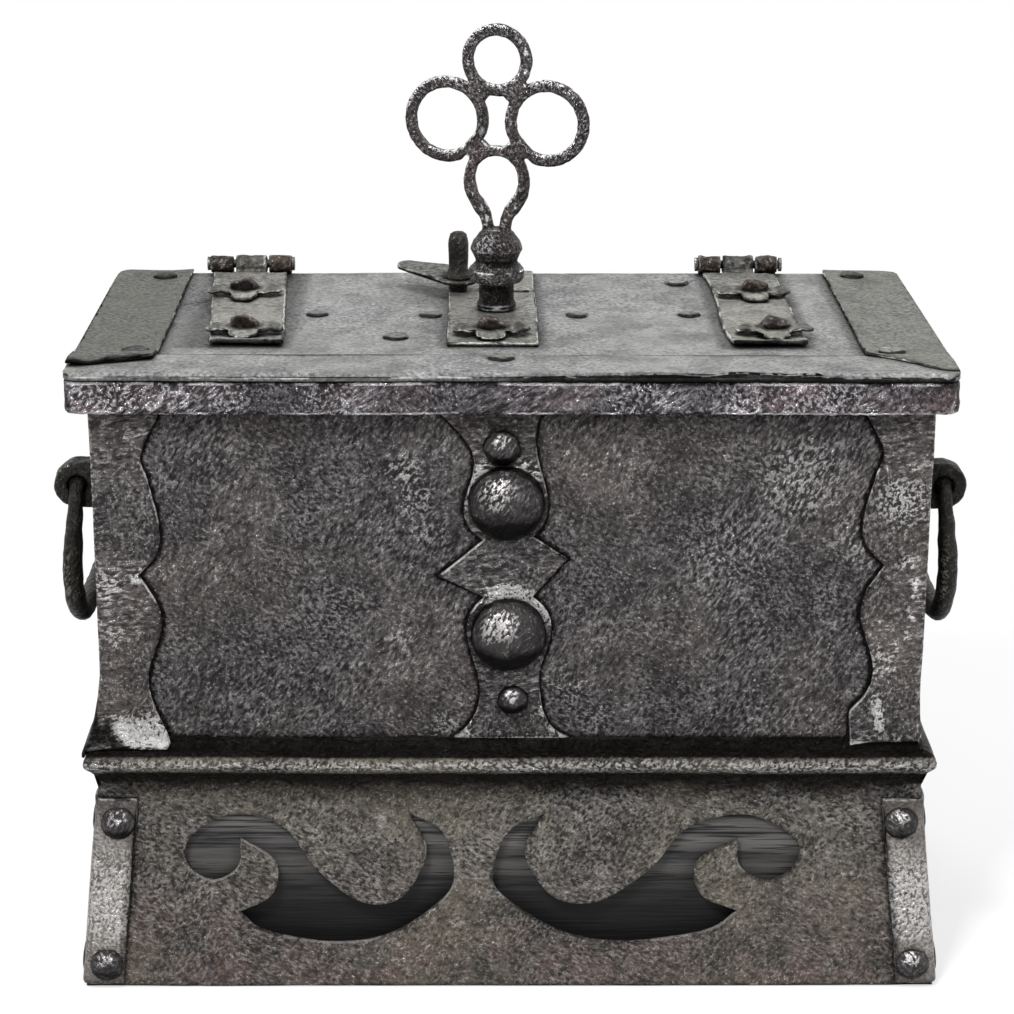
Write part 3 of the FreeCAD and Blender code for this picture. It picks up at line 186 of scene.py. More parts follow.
def iron(name, dark, mid, tint, light=(0.5, 0.49, 0.48), strokes=0.7, grain=1.0, relief=1.0,
         rough=(0.3, 0.58), worn=0.8, shift=0.0, low_tint=None, lean=0.5, stretch=2.1, creases=0.9, soft=0.0):
    """Old iron: beaten strokes in relief, tinted patches, dark seams and rubbed edges, with painted shade
    and painted highlights.

    strokes, worn and creases weigh the bright flecks, the bare edges and the painted shade in corners and
    creases. grain, stretch and lean shape the strokes, soft blurs them, and shift moves the whole pattern.
    The points' dirt and painted shade darken it, and their rubbed patches and painted highlights brighten it.
    """
    g = Graph(bpy.data.materials.new(name))

    def darker(share):
        return tuple(c * share for c in dark)

    moved = g.spread(shift=(shift, shift * 0.7, -shift))
    rising = g.spread((1, 1, stretch), (shift, 0, shift), (0.5 * lean, lean, 0.7), "TEXTURE")
    falling = g.spread((1, 1, stretch), (0, shift, shift), (-0.7 * lean, lean - 1.7, -0.5), "TEXTURE")
    patches = g.noise(17, 3, 0.6, moved)
    blotch = g.noise(62, 4, 0.68, moved)
    lumps = g.noise(190 * grain, 3, 0.55, rising)
    swap = g.ramp(g.noise(38, 2, 0.5, moved), 0.46, 0.54)
    fine = g.blended(swap, *(g.noise(600 * grain, 4, 0.62, way) for way in (rising, falling)))
    lines = g.noise(380 * grain, 2, 0.5, falling, twist=1.2)
    worms = g.ramp(g.away_from(lines, 0.5), 0.008, 0.03, 1.0, 0.0)
    flecks = g.ramp(fine, 0.575 + soft * 0.03, 0.635 + soft * 0.06)
    marks = g.most(flecks, g.times(worms, g.ramp(fine, 0.47, 0.56)))

    colour = g.mix(g.ramp(fine, 0.4 - soft * 0.08, 0.58 + soft * 0.06), dark, mid)
    colour = g.mix(g.ramp(patches, 0.42, 0.64, 0.0, 0.85), colour, tint)
    colour = g.mix(g.ramp(fine, 0.36, 0.46, 0.8 - soft * 0.5, 0.0), colour, darker(0.35))
    colour = g.mix(g.ramp(blotch, 0.36, 0.56, 0.55, 0.0), colour, darker(0.5))
    if low_tint:
        low = g.times(g.ramp(g.height(), 0.004, 0.05, 1.0, 0.0), g.ramp(blotch, 0.38, 0.6))
        colour = g.mix(g.times(low, 0.7), colour, low_tint)

    # Dirt and painted shade from the points, and painted shade in corners and creases from ambient occlusion, turn
    # it near black.
    dirt_and_shade = g.math("ADD", g.attribute("dirt_and_shade"), g.ramp(blotch, 0.3, 0.7, -0.22, 0.22))
    contact = g.add("AmbientOcclusion", {"Distance": 0.0024}, samples=4).outputs["AO"]
    dirt_and_shade = g.most(g.ramp(dirt_and_shade, 0.15, 0.8), g.ramp(contact, 0.5, 0.93, creases, 0.0))
    colour = g.mix(g.times(dirt_and_shade, 0.94), colour, DIRT_AND_SHADE_BLACK)
    colour = g.mix(g.ramp(lumps, 0.34, 0.52, 0.55 - soft * 0.35, 0.0), colour, darker(0.6))

    glow = g.times(g.ramp(patches, 0.38, 0.64, 0.3, 1.0), g.ramp(blotch, 0.4, 0.6, 0.12, 1.0))
    high = g.ramp(lumps, 0.44, 0.58, 0.3 + soft * 0.3, 1.0)
    rubbed = g.times(marks, g.times(glow, high, strokes))
    pits = g.ramp(fine, 0.38, 0.56, -0.75 + soft * 0.5, 0.3)
    pits = g.math("ADD", pits, g.times(worms, 0.3 - soft * 0.25))
    polish_and_highlight = g.ramp(g.math("ADD", g.attribute("polish_and_highlight"), pits), 0.3, 0.75)
    wear_and_edge_light = g.attribute("wear_and_edge_light")
    rim = g.ramp(g.math("ADD", wear_and_edge_light, g.times(fine, 0.5)), 1.0, 1.2)
    lit = g.ramp(g.noise(48, 4, 0.6, moved), 0.46, 0.54)
    edge = g.times(rim, lit, worn)
    seam = g.times(g.ramp(wear_and_edge_light, 0.3, 0.9), g.ramp(lit, 0.0, 0.5, 0.8, 0.2))
    colour = g.mix(g.times(seam, min(1.0, worn + 0.2)), colour, SEAM)
    # Brightened by rubbed flecks, worn edges, and rubbed patches with painted highlights.
    shine = g.times(g.most(rubbed, edge, g.times(polish_and_highlight, 0.9)), g.ramp(dirt_and_shade, 0.0, 1.0, 1.0, 0.06))
    colour = g.mix(shine, colour, light)

    roughness = g.math("SUBTRACT", g.ramp(fine, 0.35, 0.65, rough[1], rough[0]), g.times(shine, 0.08))
    metal = g.ramp(g.most(dirt_and_shade, shine), 0.0, 0.8, 0.55, 1.0)
    normal = g.bump(fine, 0.0015 * relief, normal=g.bump(lumps, 0.0014 * relief))
    return g.surface(Base_Color=colour, Metallic=metal, Roughness=roughness, Normal=normal, Specular_IOR_Level=0.3)


def timber(name):
    """Blackened boards with straight grain, a seam between them and open pores, and painted shade on their lower
    part.
    """
    g = Graph(bpy.data.materials.new(name))
    grain = g.noise(900, 4, 0.6, g.spread(scale=(0.045, 1, 1)))
    bands = g.noise(170, 3, 0.5, g.spread(scale=(0.03, 1, 1)))
    pores = g.noise(1500, 2, 0.5, g.spread(scale=(0.03, 1, 1)))
    colour = g.mix(g.ramp(grain, 0.35, 0.65), (0.015, 0.015, 0.0155), (0.068, 0.065, 0.064))
    colour = g.mix(g.ramp(bands, 0.45, 0.62, 0.0, 0.7), colour, (0.12, 0.113, 0.108))
    colour = g.mix(g.ramp(pores, 0.56, 0.62, 0.0, 0.8), colour, (0.003, 0.003, 0.003))
    height = g.height()
    # Painted shade: the boards darken towards the bottom.
    colour = g.mix(g.ramp(height, 0.028, 0.056, 0.96, 0.0), colour, (0.0012, 0.0012, 0.0012))
    board_seam = g.ramp(g.away_from(height, 0.0565), 0.0, 0.0006, 0.95, 0.0)
    colour = g.mix(board_seam, colour, (0.002, 0.002, 0.002))
    normal = g.bump(bands, 0.0005, 0.6, g.bump(grain, 0.0004, 0.8))
    return g.surface(Base_Color=colour, Roughness=0.62, Normal=normal, Specular_IOR_Level=0.2)


PLATE = iron(
    "plate_iron", (0.02, 0.0188, 0.0196), (0.122, 0.114, 0.118), (0.104, 0.09, 0.085),
    strokes=1.0, grain=1.4, stretch=1.9, relief=1.7,
)
STRAP = iron(
    "strap_iron", (0.026, 0.0235, 0.0235), (0.118, 0.108, 0.109), (0.1, 0.086, 0.08), (0.58, 0.57, 0.56),
    strokes=1.0, shift=0.31, lean=1.35, grain=1.35, relief=1.6, worn=1.0,
)
SKIRT = iron(
    "skirt_iron", (0.031, 0.028, 0.0255), (0.21, 0.193, 0.182), (0.17, 0.152, 0.116), strokes=0.85,
    grain=1.5, shift=0.53, low_tint=(0.1, 0.062, 0.052), lean=-1.1, stretch=1.6, soft=0.05, relief=1.7, worn=0.4,
)
ANGLE = iron(
    "angle_iron", (0.09, 0.083, 0.077), (0.3, 0.28, 0.265), (0.25, 0.225, 0.2),
    strokes=0.5, relief=0.6, shift=4.3, stretch=1.3, soft=0.9, grain=1.7,
)
RIM = iron(
    "rim_iron", (0.028, 0.025, 0.027), (0.15, 0.137, 0.147), (0.145, 0.1, 0.1), (0.66, 0.64, 0.67),
    strokes=1.0, relief=2.0, grain=1.4, shift=0.77, lean=0.9, stretch=2.6, rough=(0.22, 0.5),
)
LID = iron(
    "lid_iron", (0.086, 0.086, 0.085), (0.292, 0.292, 0.29), (0.215, 0.216, 0.205), (0.5, 0.5, 0.49),
    strokes=0.35, relief=0.5, rough=(0.45, 0.7), shift=1.1, soft=1.0, stretch=1.3, grain=1.3, worn=0.5,
)
END = iron(
    "end_iron", (0.06, 0.062, 0.054), (0.19, 0.192, 0.178), (0.145, 0.146, 0.125), (0.42, 0.42, 0.39),
    strokes=0.3, relief=0.5, rough=(0.45, 0.7), shift=1.7, soft=1.0, stretch=1.3, grain=1.2,
)
FIXING = iron(
    "fixing_iron", (0.07, 0.069, 0.064), (0.25, 0.248, 0.235), (0.2, 0.196, 0.17), (0.5, 0.49, 0.46),
    strokes=0.4, relief=0.7, rough=(0.4, 0.66), shift=5.2, soft=0.8, stretch=1.4,
)
RIVET = iron(
    "rivet_iron", (0.014, 0.013, 0.0125), (0.05, 0.046, 0.046), (0.046, 0.04, 0.041), (0.5, 0.48, 0.48),
    strokes=0.28, relief=0.45, rough=(0.3, 0.46), shift=1.7, creases=0.7, soft=0.6, grain=1.5,
)
BLOCK = iron(
    "block_iron", (0.014, 0.011, 0.009), (0.06, 0.048, 0.042), (0.075, 0.052, 0.04), (0.3, 0.27, 0.25),
    strokes=0.3, relief=1.2, rough=(0.42, 0.65), shift=6.3, worn=0.35, creases=0.6,
)
KEY = iron(
    "key_iron", (0.016, 0.0145, 0.0145), (0.125, 0.116, 0.117), (0.07, 0.054, 0.049), (0.7, 0.69, 0.71),
    strokes=0.5, relief=0.9, grain=2.1, worn=1.2, shift=2.3, creases=0.75, stretch=1.6,
)
HANDLE = iron(
    "handle_iron", (0.006, 0.0052, 0.0046), (0.02, 0.0178, 0.015), (0.022, 0.018, 0.014), (0.2, 0.185, 0.16),
    strokes=0.3, relief=0.7, shift=2.9, creases=0.8, soft=0.6, grain=1.5,
)
LOCK = iron(
    "lock_iron", (0.05, 0.05, 0.05), (0.16, 0.16, 0.16), (0.11, 0.105, 0.1),
    strokes=0.2, relief=0.3, worn=0.3, shift=3.4,
)
OAK = timber("old_oak")


# ---------------------------------------------------------------- numbers and mesh data


def smooth(values, low, high):
    """0 below low and 1 above high, eased between."""
    share = np.clip((np.asarray(values, float) - low) / (high - low), 0, 1)
    return share * share * (3 - 2 * share)


def ease(value, low, high):
    """The same for one plain number, which is much faster."""
    share = min(max((value - low) / (high - low), 0.0), 1.0)
    return share * share * (3 - 2 * share)


def between(values, rise, full, fade, end):
    """0 outside rise to end, and 1 from full to fade."""
    return smooth(values, rise, full) * (1 - smooth(values, fade, end))


def most(*values):
    return functools.reduce(np.maximum, values)


def steps(low, high, gap):
    """Even values from low to high, at most a gap apart."""
    count = max(2, math.ceil((high - low) / gap))
    return [low + (high - low) * i / count for i in range(count + 1)]


def bump_at(u, v, size, seed=0.0):
    return noise.noise(Vector((u / size + seed, v / size, seed)))


def read(items, field, width=3, kind=float):
    flat = np.empty(len(items) * width, kind)
    items.foreach_get(field, flat)
    return flat.reshape(-1, width)


def points_of(obj):
    return read(obj.data.vertices, "co") / MM


def normals_of(obj):
    return read(obj.data.vertices, "normal")


def set_points(mesh, points):
    mesh.vertices.foreach_set("co", points.astype(np.float32).ravel())
    mesh.update()


def paint(obj, name, values):
    """Stores a value per point that the irons read: worn edges with painted edge light, dirt with painted shade, or
    rubbed patches with painted highlights.
    """
    layers = obj.data.attributes
    layer = layers.get(name) or layers.new(name, "FLOAT", "POINT")
    layer.data.foreach_set("value", np.clip(values, 0, 1).astype(np.float32))


def spots(points, places):
    """Soft round patches (x, y, z, radius, strength)."""
    total = np.zeros(len(points))
    for *middle, radius, strength in places:
        away = np.sqrt(((points - np.array(middle)) ** 2).sum(1))
        total = np.maximum(total, strength * (1 - smooth(away, radius * 0.3, radius)))
    return total


def upright(y, places):
    """Patches given as (x, z, radius, strength) on an upright plane."""
    return [(x, y, z, radius, strength) for x, z, radius, strength in places]


def new_object(name, work):
    """Object made from a bmesh, which is freed."""
    mesh = bpy.data.meshes.new(name)
    work.to_mesh(mesh)
    work.free()
    obj = bpy.data.objects.new(name, mesh)
    bpy.context.scene.collection.objects.link(obj)
    return obj


def merged(node):
    """Bmesh of a CAD node with its doubled points joined."""
    work = bmesh.new()
    work.from_mesh(nodes[node].data)
    bmesh.ops.remove_doubles(work, verts=work.verts, dist=0.002 * MM)
    return work


def warped(points):
    """Gentle handmade unevenness shared by every sheet (metres), so layers stay seated."""
    out = points.copy()
    for i, p in enumerate(points):
        v = Vector(p) / MM
        slow = noise.noise_vector(v / 46.0) * 0.45
        quick = noise.noise_vector(v / 15.0 + Vector((7, 3, 5))) * 0.16
        out[i] += (slow + quick) * MM
    out[:, Z] = np.maximum(out[:, Z], 0.0)
    return out


def settle(obj, material, node, warp=False, replaces=True):
    """Finishes a piece that shows a CAD node: kept within the whole model's box, smooth-shaded and assigned."""
    points = read(obj.data.vertices, "co")
    if warp:
        points = warped(points)
    set_points(obj.data, np.clip(points, np.array(cad_low), np.array(cad_high)))
    obj.data.materials.clear()
    obj.data.materials.append(material)
    for polygon in obj.data.polygons:
        polygon.use_smooth = True
    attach(obj, body_of[node])
    if replaces:
        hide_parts(node)
    return obj


# ---------------------------------------------------------------- forged and plain pieces


def relaxed(points, pairs, rounds):
    """Laplacian smoothing."""
    count = np.bincount(pairs.ravel(), minlength=len(points))[:, None].clip(1)
    for _ in range(rounds):
        total = np.zeros_like(points)
        np.add.at(total, pairs[:, 0], points[pairs[:, 1]])
        np.add.at(total, pairs[:, 1], points[pairs[:, 0]])
        points = points * 0.5 + total / count * 0.5
    return points


def forged(node, material, voxel, rounds, hammer, size, warp=True, bend=None, bare=1.0, thin=0.0):
    """Remeshes a CAD node finely, rounds its edges and hammers it.

    rounds is the smoothing, hammer and size are the depth and width of the dents, bend moves the
    points (metres), bare weighs the rubbed edges and thin takes a skin off.
    """
    obj = new_object(node + "_forged", merged(node))
    remesh = obj.modifiers.new("remesh", "REMESH")
    remesh.mode = "VOXEL"
    remesh.voxel_size = voxel * MM
    bpy.context.view_layer.update()
    fine = bpy.data.meshes.new_from_object(obj.evaluated_get(bpy.context.evaluated_depsgraph_get()))
    obj.modifiers.clear()
    obj.data = fine
    pairs = read(fine.edges, "vertices", 2, int)
    points = relaxed(read(fine.vertices, "co"), pairs, rounds)
    normals = normals_of(obj)
    curve = ((points - relaxed(points, pairs, 4)) * normals).sum(1)
    points -= normals * thin * MM
    seed = Vector((len(node) * 3.1, 1.7, 4.2))
    for i, p in enumerate(points):
        v = Vector(p) / (MM * size) + seed
        points[i] += normals[i] * (noise.noise(v) + 0.4 * noise.noise(v * 2.7)) * hammer * MM
    if bend:
        points = bend(points)
    set_points(fine, warped(points) if warp else points)
    paint(obj, "wear_and_edge_light", bare * curve / (0.11 * voxel * MM))
    return settle(obj, material, node)


def plain(node, material, width):
    """Keeps a CAD node and softens its edges."""
    obj = nodes[node]
    obj.data.materials.clear()
    obj.data.materials.append(material)
    obj.modifiers.new("weld", "WELD").merge_threshold = 0.002 * MM
    bevel = obj.modifiers.new("bevel", "BEVEL")
    bevel.width = width * MM
    bevel.segments = 2
    bevel.limit_method = "ANGLE"
    bevel.angle_limit = math.radians(40)


# ---------------------------------------------------------------- outlines

EVEN_STEP = 1.6
SMALLEST_HOLE = 30.0  # mm2: smaller ones are rivet holes, which the heads hide


def segments_of(loops):
    rings = [np.array(loop) for loop in loops]
    return np.concatenate(rings), np.concatenate([np.roll(ring, -1, 0) for ring in rings])


def distance_to(points, starts, ends):
    """Shortest distance from each point to the outline."""
    best = np.empty(len(points))
    run = ends - starts
    length = (run ** 2).sum(1).clip(1e-12)
    for block in (slice(i, i + 2000) for i in range(0, len(points), 2000)):
        away = points[block, None] - starts[None]
        along = ((away * run[None]).sum(2) / length[None]).clip(0, 1)
        gap = away - along[..., None] * run[None]
        best[block] = np.sqrt((gap ** 2).sum(2)).min(1)
    return best


def is_inside(points, starts, ends):
    """Even-odd test against the outline."""
    inside = np.zeros(len(points), bool)
    for a, b in zip(starts, ends):
        crosses = (a[1] > points[:, 1]) != (b[1] > points[:, 1])
        with np.errstate(divide="ignore", invalid="ignore"):
            at = (b[0] - a[0]) * (points[:, 1] - a[1]) / (b[1] - a[1]) + a[0]
        inside ^= crosses & (points[:, 0] < at)
    return inside


def area_of(points):
    u, v = np.array(points).T
    return abs((u * np.roll(v, -1) - v * np.roll(u, -1)).sum() / 2)


def evened(points, step):
    """Splits the long edges of a closed outline and drops crowded points."""
    out = []
    for a, b in zip(points, points[1:] + points[:1]):
        a, b = np.array(a), np.array(b)
        pieces = max(1, round(np.linalg.norm(b - a) / step))
        out += [tuple(a + (b - a) * i / pieces) for i in range(pieces)]
    thinned = [out[0]]
    for p in out[1:]:
        if math.dist(p, thinned[-1]) > 0.55:
            thinned.append(p)
    return thinned


def through(points, count, beyond=None):
    """Catmull-Rom curve through a run of points, without the last; beyond is where it heads after."""
    knots = [Vector(p) for p in points]
    beyond = Vector(beyond) if beyond else knots[-1] * 2 - knots[-2]
    knots = [knots[0] * 2 - knots[1]] + knots + [beyond]
    out = []
    for a, b, c, d in zip(knots, knots[1:], knots[2:], knots[3:]):
        for t in (k / count for k in range(count)):
            square, cube = 2 * a - 5 * b + 4 * c - d, 3 * b - a - 3 * c + d
            out.append(tuple(0.5 * ((2 * b) + (c - a) * t + square * t * t + cube * t ** 3)))
    return out


def outline_of(node, axis, sign):
    """Outlines of a CAD node's flat face that looks along an axis."""
    work = merged(node)
    level = max(sign * v.co[axis] for v in work.verts)
    flat = {f for f in work.faces if all(abs(sign * v.co[axis] - level) < 1e-5 for v in f.verts)}
    ways = {}
    for edge in work.edges:
        if sum(f in flat for f in edge.link_faces) == 1:
            a, b = (v.index for v in edge.verts)
            ways.setdefault(a, []).append(b)
            ways.setdefault(b, []).append(a)
    work.verts.ensure_lookup_table()
    across = [i for i in (X, Y, Z) if i != axis]
    loops = []
    while ways:
        chain = [next(iter(ways))]
        while True:
            onward = [n for n in ways[chain[-1]] if n in ways and n not in chain[-2:]]
            onward = [n for n in onward if n == chain[0] or n not in chain]
            if not onward or onward[0] == chain[0]:
                break
            chain.append(onward[0])
        for index in chain:
            del ways[index]
        loops.append([tuple(work.verts[i].co[k] / MM for k in across) for i in chain])
    work.free()
    return [evened(loop, EVEN_STEP) for loop in loops if len(loop) > 2 and area_of(loop) > SMALLEST_HOLE]


def solids_of(node):
    """Low and high corner of each loose solid of a node."""
    work = merged(node)
    seen, found = set(), []
    for vert in work.verts:
        if vert.index in seen:
            continue
        queue, group = [vert], []
        seen.add(vert.index)
        while queue:
            here = queue.pop()
            group.append(tuple(here.co))
            for other in (edge.other_vert(here) for edge in here.link_edges):
                if other.index not in seen:
                    seen.add(other.index)
                    queue.append(other)
        corners = np.array(group) / MM
        found.append((corners.min(0), corners.max(0)))
    work.free()
    return sorted(found, key=lambda c: tuple(np.round(c[0], 1)))


def seats_of(node, axis, sink):
    """Middle of each solid of a node, but sink below its high side along an axis."""
    seats = []
    for low, high in solids_of(node):
        seat = (low + high) / 2
        seat[axis] = high[axis] - sink
        seats.append(tuple(seat))
    return seats


# ---------------------------------------------------------------- sheet metal


def torn_rim(loops, outline, rag, seed):
    """Points of the ragged outlines, the way inward at each, and the links between them."""
    rim_points, inward, links = [], [], []
    for loop in loops:
        ring = np.array(loop, float)
        run = np.roll(ring, -1, 0) - np.roll(ring, 1, 0)
        side = np.stack([-run[:, 1], run[:, 0]], 1)
        side /= np.sqrt((side ** 2).sum(1))[:, None].clip(1e-9)
        side *= 1 if is_inside(ring + side * 0.05, *outline).mean() > 0.5 else -1
        wobble = np.array([noise.noise(Vector((u * 0.45 + seed, v * 0.45, 1.5))) for u, v in ring])
        depth = np.array([rag(u, v) for u, v in ring]) if callable(rag) else rag
        first, count = len(rim_points), len(ring)
        links += [(first + i, first + (i + 1) % count) for i in range(count)]
        rim_points += list(ring + side * (np.abs(wobble) * depth)[:, None])
        inward += list(side)
    return np.array(rim_points), np.array(inward), links


def inner_grid(columns, rows, outline):
    """Slightly uneven grid of the points that lie well inside the outline."""
    grid = np.array([(u, v) for v in rows for u in columns])
    jitter = np.array([[noise.noise(Vector((u, v, w))) for w in (3.3, 9.1)] for u, v in grid * 0.37])
    grid = grid + jitter * 0.25
    grid = grid[is_inside(grid, *outline)]
    return grid[distance_to(grid, *outline) > EVEN_STEP]


def sheet_metal(name, loops, place, thick, columns, rows, rim=0.3, rag=0.12, seed=0.0):
    """Sheet with real thickness and a rounded edge.

    loops are outlines on the flat sheet and place(u, v, w) puts a point w deep in space. rim is
    the rounding and rag the depth of the torn edge, or a function of (u, v) that gives it.
    """
    outline = segments_of(loops)
    rim_points, inward, links = torn_rim(loops, outline, rag, seed)
    inset = rim_points + inward * 1.3
    inset = inset[is_inside(inset, *outline) & (distance_to(inset, *outline) > 1.0)]
    flat = np.concatenate([rim_points + inward * rim, inset, inner_grid(columns, rows, outline)])
    found = delaunay_2d_cdt([Vector(p) for p in flat], links, [], 0, 1e-5)
    flat = np.array([tuple(p) for p in found[0]])
    faces = np.array([f for f in found[2] if len(f) == 3])
    faces = faces[is_inside(flat[faces].mean(1), *outline)]
    point_after = {old: new for new, olds in enumerate(found[3]) for old in olds}

    work = bmesh.new()
    wear_and_edge_light = work.verts.layers.float.new("wear_and_edge_light")

    def point(u, v, deep, worn):
        vert = work.verts.new(Vector(place(u, v, deep)) * MM)
        vert[wear_and_edge_light] = worn
        return vert

    top, bottom = [], []
    for (u, v), gap in zip(flat, distance_to(flat, *outline)):
        worn = 1.0 if gap < rim * 1.5 else 0.35 if gap < EVEN_STEP else 0.0
        top.append(point(u, v, 0.0, worn))
        bottom.append(point(u, v, thick, worn))
    corner = min(rim, thick * 0.35)
    walls = [[point(u, v, deep, 1.0) for deep in (corner, thick - corner)] for u, v in rim_points]
    for a, b, c in faces:
        work.faces.new((top[a], top[b], top[c]))
        work.faces.new((bottom[c], bottom[b], bottom[a]))
    for a, b in links:
        one, two = point_after[a], point_after[b]
        if one == two:
            continue
        down_a = (top[one], *walls[a], bottom[one])
        down_b = (top[two], *walls[b], bottom[two])
        for k in range(3):
            corners = (down_a[k], down_b[k], down_b[k + 1], down_a[k + 1])
            if not work.faces.get(corners):
                work.faces.new(corners)
    bmesh.ops.delete(work, geom=[v for v in work.verts if not v.link_faces], context="VERTS")
    bmesh.ops.recalc_face_normals(work, faces=work.faces)
    obj = new_object(name, work)
    worn = wear_of(obj)
    # Painted edge light and shade: rounded rims that face up stay bright and worn, rims that face down get half as
    # much and go dark.
    facing = smooth(normals_of(obj)[:, Z], -0.3, 0.35)
    paint(obj, "wear_and_edge_light", worn * np.where(worn > 0.9, 0.5 + 0.5 * facing, 1.0))
    return obj


def wear_of(obj):
    return read(obj.data.attributes["wear_and_edge_light"].data, "value", 1)[:, 0]


def flat_plate(node, axis, sign, material, cell=3.5, seed=0.0, lift=None, rim=0.3, rag=0.12, redraw=None):
    """Flat plate rebuilt from the outline of its CAD face; redraw moves that, lift raises the sheet."""
    low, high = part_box(node)
    face = (high if sign > 0 else low)[axis] / MM
    loops = outline_of(node, axis, sign)
    if redraw:
        loops = [redraw(points) for points in loops]
    columns, rows = (steps(line.min(), line.max(), cell) for line in np.concatenate(loops).T)

    def place(u, v, w):
        at = [u, v]
        at.insert(axis, face - sign * w + (lift(u, v) if lift else 0.0))
        return at

    obj = sheet_metal(node + "_sheet", loops, place, (high - low)[axis] / MM, columns, rows, rim, rag, seed)
    return settle(obj, material, node, warp=True)


def folded(s, radius, x_edge, y_edge, depth, grow_x=0.0, grow_y=0.0):
    """Point on a sheet folded round an upright corner; s runs from the front face to the flank."""
    half_arc = radius * math.pi / 4
    if abs(s) > half_arc:
        away = abs(s) - half_arc
        fading = 1 - ease(away, 0, 3.5)
        if s < 0:
            return x_edge - radius - away + grow_x * fading, y_edge + grow_y - depth
        return x_edge + grow_x - depth, y_edge - radius - away + grow_y * fading
    turn = (s + half_arc) / radius
    reach = radius - depth
    x, y = x_edge - radius + grow_x, y_edge - radius + grow_y
    return x + reach * math.sin(turn), y + reach * math.cos(turn)


# ---------------------------------------------------------------- plates of the box

front = flat_plate("front_plate", Y, -1, PLATE, cell=1.25)
# Painted highlights: sheen patches on the front plate.
paint(front, "polish_and_highlight", spots(points_of(front), upright(-HALF_DEPTH, [
    (-36, 191, 10, 0.3), (-33, 180, 9, 0.28), (-31, 170, 7, 0.2), (98, 188, 20, 0.27),
    (97, 187, 8, 0.36), (118, 166, 14, 0.2), (-60, 138, 14, 0.1), (20, 111, 10, 0.18),
    (-23, 97, 8, 0.25), (-38, 128, 9, 0.18), (30, 100, 8, 0.15), (75, 160, 22, 0.12),
])))
for node, axis, sign in (("back_plate", Y, 1), ("left_plate", X, -1), ("right_plate", X, 1)):
    flat_plate(node, axis, sign, PLATE, seed=axis + sign)

# ---------------------------------------------------------------- plates of the lid

# Where the front strip starts to curl up, and how far each end plate runs on over that strip:
# at its inner side, and what the outer side adds.
CURL_START = (-10, 12)
END_LAP = {"left": (8, 8), "right": (1, 20)}


def strip_lift(u, v):
    """The strip laps over the lid's front edge and curls up off it towards the right."""
    near = ease(LID_FRONT + 9 - v, 0, 9)
    opened = ease(u, -2, 22) * (1 - 0.75 * ease(u, 98, 106)) * min(1.0, 0.8 + 0.9 * bump_at(u, 0, 14))
    pressed = 1.4 * ease(LID_FRONT + 2.2 - v, 0, 2.2) * (1 - opened)
    return near * (0.1 + 0.85 * opened) - pressed


def strip_rag(_, v):
    return 1.3 if v < LID_FRONT + 3 else 0.3


def end_lift(u, v):
    """The end plates stand a little proud along their inner edge and where they cross the strip."""
    proud = ease(LID_SIDE - 22 - abs(u), 0, 8) * (0.5 + 0.5 * bump_at(0, v, 11, 3.1))
    over_strip = (1.2 if u < 0 else 0.6) * ease(STRIP_BACK + 1.5 - v, 0, 2)
    front_curl = ease(STRIP_BACK - 2 - v, 0, 8) * (0.6 + 1.4 * bump_at(u, 0, 6, 2.2)) * (u < 0)
    return proud + over_strip + front_curl + 0.15 * bump_at(u, v, 9, 1.2)


def longer_end(points):
    """The end plates run on over the front strip, further at their outer side."""
    longer = []
    for u, v in points:
        inner, more = END_LAP["left" if u < 0 else "right"]
        reach = inner + more * ease(abs(u), LID_SIDE - END_WIDTH, LID_SIDE)
        longer.append((u, v - reach * ease(STRIP_BACK + 3 - v, 0, 3)))
    return evened(longer, EVEN_STEP)


def clear_of_hinges(points):
    """The lid sheet's back edge is filed away a little where the hinge leaves come up to it."""
    back = max(v for _, v in points)
    filed = [(u, v - 0.9 * (1 - ease(back - v, 0.5, 1.5)) * ease(abs(u), 60, 68)) for u, v in points]
    return evened(filed, EVEN_STEP)


def beside(points, node, reach):
    """1 against the sides of a piece lying on the lid, falling to 0 a reach away."""
    low, high = box_of(node)
    out = [most(low[i] - points[:, i], points[:, i] - high[i], 0) for i in (X, Y)]
    return 1 - smooth(np.hypot(*out), 0, reach)


def lid_sheet():
    sheet = flat_plate("lid_sheet", Z, 1, LID, rag=0.3, redraw=clear_of_hinges)
    at = points_of(sheet)
    # Painted shade along the strip's back edge and under its curled front, painted shadow round the key and the
    # knob, and painted shadow beside each piece fixed on the lid.
    behind_strip = 0.25 * (1 - smooth(np.abs(at[:, Y] - STRIP_BACK), 0.5, 4))
    opening = 0.3 + 0.7 * smooth(at[:, X], *CURL_START)
    under_curl = opening * (1 - smooth(at[:, Y], LID_FRONT + 0.4, LID_FRONT + 2))
    fixed_on = ("left_hinge_strap", "right_hinge_strap", "lock_strap", "left_end_plate", "right_end_plate")
    darkening = spots(at, [(-28, 32, 226, 22, 0.35), (-30, 48, 226, 16, 0.4), (22, 45, 226, 15, 0.3)])
    paint(sheet, "dirt_and_shade", most(behind_strip, under_curl, darkening, *(0.6 * beside(at, node, 6.5) for node in fixed_on)))


